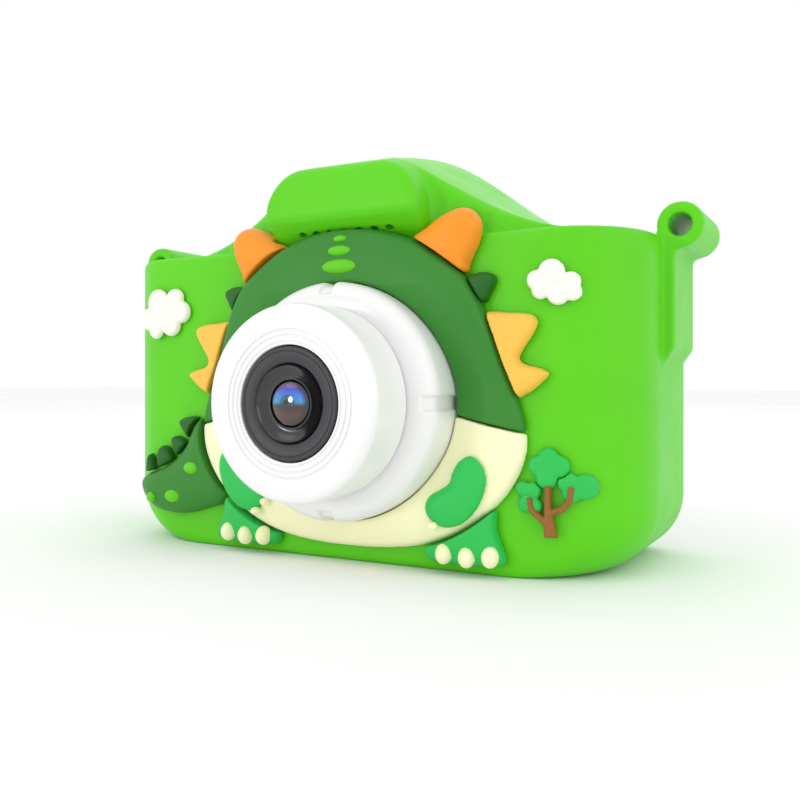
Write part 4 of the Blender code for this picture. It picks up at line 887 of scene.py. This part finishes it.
def lathe(name, profile, look, nodes=(), segments=SEGMENTS):
    """A turned piece about the lens axis, from a closed profile of (radius, y) in mm."""
    grid = bmesh.new()
    rings = []
    for radius, y in profile:
        if radius == 0:
            rings.append([grid.verts.new((LENS_X * MM, y * MM, LENS_Z * MM))])
            continue
        ring = []
        for k in range(segments):
            a = 2 * math.pi * k / segments
            x, z = LENS_X + radius * math.cos(a), LENS_Z + radius * math.sin(a)
            ring.append(grid.verts.new((x * MM, y * MM, z * MM)))
        rings.append(ring)
    pairs = list(zip(rings[:-1], rings[1:]))
    if profile[0][0] > 0:
        pairs.append((rings[-1], rings[0]))
    for near, far in pairs:
        for i in range(segments):
            j = (i + 1) % segments
            if len(near) == 1:
                grid.faces.new((near[0], far[j], far[i]))
            elif len(far) == 1:
                grid.faces.new((near[i], near[j], far[0]))
            else:
                grid.faces.new((near[i], near[j], far[j], far[i]))
    bmesh.ops.recalc_face_normals(grid, faces=grid.faces)
    mesh = bpy.data.meshes.new(name)
    grid.to_mesh(mesh)
    grid.free()
    mesh.shade_smooth()
    mesh.set_sharp_from_angle(angle=math.radians(40))
    made = bpy.data.objects.new(name, mesh)
    bpy.context.scene.collection.objects.link(made)
    return finish_piece(made, look, replaced=nodes)


def corner(radius, y, size, turn, steps=6):
    """A quarter round on a profile: turn 0 is at the outer side of a front face, 1 inside it."""
    points = []
    for k in range(steps + 1):
        a = math.pi / 2 * k / steps
        if turn == 0:
            points.append((radius - size + size * math.sin(a), y + size - size * math.cos(a)))
        else:
            points.append((radius + size - size * math.cos(a), y + size - size * math.sin(a)))
    return points


RING_WALL = 4.5
RING_SHOULDER = 2.5
NOTCH_DEPTH, NOTCH_REACH, NOTCH_HALF = 0.55, 1.8, 0.95


def base_ring():
    face, back = RING_LOW[1], RING_HIGH[1]
    bore = RING_RADIUS - RING_WALL
    low = (LENS_X - RING_RADIUS, face, LENS_Z - RING_RADIUS)
    high = (LENS_X + RING_RADIUS, back, LENS_Z + RING_RADIUS)
    grid = Grid(low, high, 0.25)
    x, y, z = grid.x, grid.y, grid.z
    radius = np.hypot(x - LENS_X, z - LENS_Z)
    body = round_overlap(radius - RING_RADIUS, face - y, RING_SHOULDER)
    shape = np.maximum(np.maximum(body, bore - radius), y - back)
    reach = np.maximum(-body - NOTCH_DEPTH, RING_RADIUS - NOTCH_REACH - radius)
    for across in (x - LENS_X, z - LENS_Z):
        notch = np.maximum(np.abs(across) - NOTCH_HALF, reach)
        shape = round_overlap(shape, -notch, 0.3)
    made = net("base_ring_skin", shape, grid, 1)
    finish_piece(made, WHITE, replaced=("lens_base_ring",))


def barrel():
    tip, back = BARREL_LOW[1], RING_LOW[1] - GAP
    seat = BEZEL_RADIUS + 0.18
    profile = corner(seat, tip, 0.2, 1)
    for ridge in sorted(RIDGES):
        half = RIDGE_WIDTH / 2
        profile += [(ridge - half, tip), (ridge - half * 0.5, tip + RIDGE_DEPTH)]
        profile += [(ridge + half * 0.5, tip + RIDGE_DEPTH), (ridge + half, tip)]
    profile += [(10.6, tip)] + corner(BARREL_RADIUS, tip, 1.0, 0)
    neck, bore = BARREL_RADIUS - NECK_STEP, BARREL_RADIUS - BARREL_WALL
    end = BARREL_HIGH[1]
    profile += [(BARREL_RADIUS, back - 0.25), (BARREL_RADIUS - 0.25, back)]
    profile += [(neck, back), (neck, end), (bore, end)]
    throat = BEZEL_HIGH[1] + GAP
    profile += [(bore, throat + 1.0), (bore - 1.5, throat), (seat, throat)]
    lathe("barrel_skin", profile, WHITE, ("lens_barrel",))


def bezel():
    """The flat grey ring, and the glossy black bowl that it holds round the glass."""
    tip, back = BEZEL_LOW[1], BEZEL_HIGH[1]
    profile = [(BOWL_RADIUS, back), (BOWL_RADIUS, tip + 0.5), (BOWL_RADIUS + 0.15, tip + 0.12)]
    groove = BEZEL_RADIUS - BEZEL_GROOVE
    profile += [(BOWL_RADIUS + 0.35, tip), (groove - 0.13, tip), (groove - 0.06, tip + 0.1)]
    profile += [(groove + 0.06, tip + 0.1), (groove + 0.13, tip)]
    profile += corner(BEZEL_RADIUS, tip, 0.3, 0) + [(BEZEL_RADIUS, back)]
    lathe("bezel_skin", profile, BEZEL, ("lens_bezel",))
    inner, outer = GLASS_RADIUS + 0.1, BOWL_RADIUS - 0.02
    profile = [(inner, back), (inner, tip + 0.55)]
    profile += [(inner + 0.12, tip + 0.45), (inner + 0.3, tip + 0.5)]
    for k in range(BOWL_STEPS + 1):
        share = k / BOWL_STEPS
        depth = BOWL_DEPTH * math.cos(math.pi / 2 * share) ** 0.7 + 0.25
        profile.append((inner + 0.36 + (outer - inner - 0.36) * share, tip + depth))
    profile.append((outer, back))
    lathe("bowl_skin", profile, GLOSS_BLACK)


def front_glass():
    """The coated outer element; its material paints the coating's reflections and the rings of the
    elements behind it.
    """
    tip = BEZEL_LOW[1]
    profile = [(0, tip - 0.1)]
    for k in range(1, 15):
        a = math.pi / 2 * k / 14
        profile.append((GLASS_RADIUS * math.sin(a), tip + 0.8 - 0.9 * math.cos(a)))
    profile += [(GLASS_RADIUS, tip + 2.0), (0, tip + 2.0)]
    lathe("front_glass_skin", profile, painted_reflection_glass(), ("front_lens",), 96)


def painted_reflection_glass():
    """Dark glass with painted reflections: the coating's violet to cyan above and warm brown
    below, and rings off the deeper elements, with painted shade in the middle and at the rim.
    """
    look = Look("painted_reflection_glass", 0.04)
    mapping = look.node("ShaderNodeMapping")
    mapping.vector_type = "TEXTURE"
    mapping.inputs["Location"].default_value = (LENS_X * MM, 0.0, LENS_Z * MM)
    mapping.inputs["Scale"].default_value = (GLASS_RADIUS * MM, 1.0, GLASS_RADIUS * MM)
    look.link(look.place, mapping.inputs["Vector"])
    split = look.node("ShaderNodeSeparateXYZ")
    look.link(mapping.outputs["Vector"], split.inputs["Vector"])
    flat = look.node("ShaderNodeCombineXYZ")
    look.link(split.outputs["X"], flat.inputs["X"])
    look.link(split.outputs["Z"], flat.inputs["Y"])
    length = look.node("ShaderNodeVectorMath", operation="LENGTH")
    look.link(flat.outputs["Vector"], length.inputs[0])
    height = look.remap(split.outputs["Z"], 0.0, 1.0, -1.0, 1.0)
    # painted reflection: the coating's colours by height, violet to cyan above and warm brown
    # below
    coat = look.ramp(
        height,
        [
            (0.0, srgb(30, 16, 10)),
            (0.25, srgb(84, 40, 20)),
            (0.46, srgb(40, 28, 26)),
            (0.54, srgb(44, 170, 214)),
            (0.68, srgb(52, 140, 232)),
            (0.82, srgb(66, 66, 200)),
            (0.93, srgb(164, 60, 178)),
            (1.0, srgb(60, 24, 70)),
        ],
    )
    # painted reflections off the deeper elements' rings, with painted shade in the middle and at
    # the rim
    rings = look.ramp(
        length.outputs["Value"],
        [
            (0.0, srgb(8, 8, 12)),
            (0.2, srgb(28, 22, 24)),
            (0.24, srgb(190, 170, 165)),
            (0.34, srgb(120, 100, 100)),
            (0.4, srgb(210, 200, 205)),
            (0.7, srgb(235, 230, 240)),
            (0.9, srgb(70, 64, 76)),
            (1.0, srgb(14, 14, 18)),
        ],
    )
    mix = look.node("ShaderNodeMix", data_type="RGBA", blend_type="MULTIPLY")
    mix.inputs["Factor"].default_value = 1.0
    look.link(coat, mix.inputs["A"])
    look.link(rings, mix.inputs["B"])
    look.colour(mix.outputs["Result"])
    look.value("Coat Weight", 1.0)
    look.value("Coat Roughness", 0.02)
    return look.material


# ---------------------------------------------------------------- carried-over CAD pieces
def board_look():
    """Green solder mask with fine traces and tinned pads."""
    look = Look("solder_mask", 0.4)
    brick = look.node("ShaderNodeTexVoronoi", distance="CHEBYCHEV")
    brick.inputs["Scale"].default_value = 620.0
    look.link(look.place, brick.inputs["Vector"])
    stops = [(0.1, srgb(196, 190, 170)), (0.16, srgb(22, 96, 56)), (0.6, srgb(18, 84, 48))]
    look.colour(look.ramp(brick.outputs["Distance"], stops))
    look.bump(brick.outputs["Distance"], 0.00003, 0.5)
    return look.material


def screen_look():
    """A gloss black window with a wiped-glass variation in its colour and gloss."""
    look = Look("screen_window", 0.07)
    wipe = look.noise(45, 5.0, 0.6, (1.0, 1.0, 0.4))
    look.colour(look.ramp(wipe, [(0.3, srgb(14, 14, 17)), (0.7, srgb(24, 25, 30))]))
    look.roughness(look.remap(wipe, 0.05, 0.13))
    look.value("Coat Weight", 0.8)
    look.value("Coat Roughness", 0.03)
    return look.material


def rear_glass_look():
    look = Look("rear_glass", 0.05)
    tint = look.noise(600, 2.0)
    look.colour(look.ramp(tint, [(0.3, srgb(16, 14, 26)), (0.7, srgb(34, 30, 60))]))
    look.value("Coat Weight", 1.0)
    look.value("Coat Roughness", 0.02)
    return look.material


def dress_frame_nodes():
    screen, rear_glass, board = screen_look(), rear_glass_look(), board_look()
    looks = {"display_window": screen, "rear_lens": rear_glass}
    looks.update({"main_board": board, "battery": FOIL})
    for name in ("camera_module", "display_module", "speaker", "memory_card"):
        looks[name] = BLACK
    for name in ("usb_port", "card_socket", *(f"case_screw_{k}" for k in range(1, 5))):
        looks[name] = STEEL
    for name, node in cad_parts.items():
        if node.hide_render:
            continue
        node.data.materials.clear()
        node.data.materials.append(looks.get(name, WHITE))


# ---------------------------------------------------------------- studio
SKY_LIGHT = 1.0
LIGHTS_AIM = Vector((0.0, 0.0, 0.03))
# name, place and size in metres, power in watts
LIGHTS = (
    ("key", (-0.3, -0.45, 0.5), 0.4, 0.25),
    ("fill", (0.6, -0.2, 0.3), 0.5, 0.5),
    ("top", (0.0, 0.05, 0.7), 0.6, 0.2),
    ("rim", (-0.2, 0.55, 0.4), 0.4, 0.2),
    ("glint", (-0.29, -0.56, 0.07), 0.09, 0.3),
)
# the camera's place in metres, turn in degrees, lens in millimetres, and shift
CAMERA_PLACE = (0.0716, -0.1292, 0.0269)
CAMERA_TURN = 28.22
CAMERA_LENS = 40.2
CAMERA_SHIFT = -0.0267


def studio():
    bpy.ops.mesh.primitive_plane_add(size=4.0)
    floor = bpy.context.object
    floor.name = "studio_floor"
    look = Look("studio_floor", 0.9)
    mottle = look.noise(6, 2.0)
    look.colour(look.ramp(mottle, [(0.3, srgb(246, 246, 246)), (0.7, srgb(250, 250, 250))]))
    floor.data.materials.append(look.material)
    world = bpy.data.worlds.new("studio")
    world.use_nodes = True
    sky = world.node_tree.nodes["Background"]
    sky.inputs["Color"].default_value = (1.0, 1.0, 1.0, 1.0)
    sky.inputs["Strength"].default_value = SKY_LIGHT
    bpy.context.scene.world = world
    for name, place, size, power in LIGHTS:
        light = bpy.data.lights.new(name, "AREA")
        light.shape = "DISK"
        light.size = size
        light.energy = power
        lamp = bpy.data.objects.new(name, light)
        lamp.location = place
        aim = LIGHTS_AIM - lamp.location
        lamp.rotation_euler = aim.to_track_quat("-Z", "Y").to_euler()
        bpy.context.scene.collection.objects.link(lamp)
    bpy.context.scene.view_settings.view_transform = "Standard"


def camera():
    lens = bpy.data.cameras.new("camera")
    lens.lens = CAMERA_LENS
    lens.sensor_width = 36.0
    lens.shift_y = CAMERA_SHIFT
    lens.clip_start = 0.005
    seen = bpy.data.objects.new("camera", lens)
    seen.location = CAMERA_PLACE
    seen.rotation_euler = (math.radians(90), 0.0, math.radians(CAMERA_TURN))
    bpy.context.scene.collection.objects.link(seen)
    bpy.context.scene.camera = seen


silicone_sleeve()
hood_and_belly()
paired_pieces()
tail()
clouds_and_tree()
base_ring()
barrel()
bezel()
front_glass()
dress_frame_nodes()
studio()
camera()
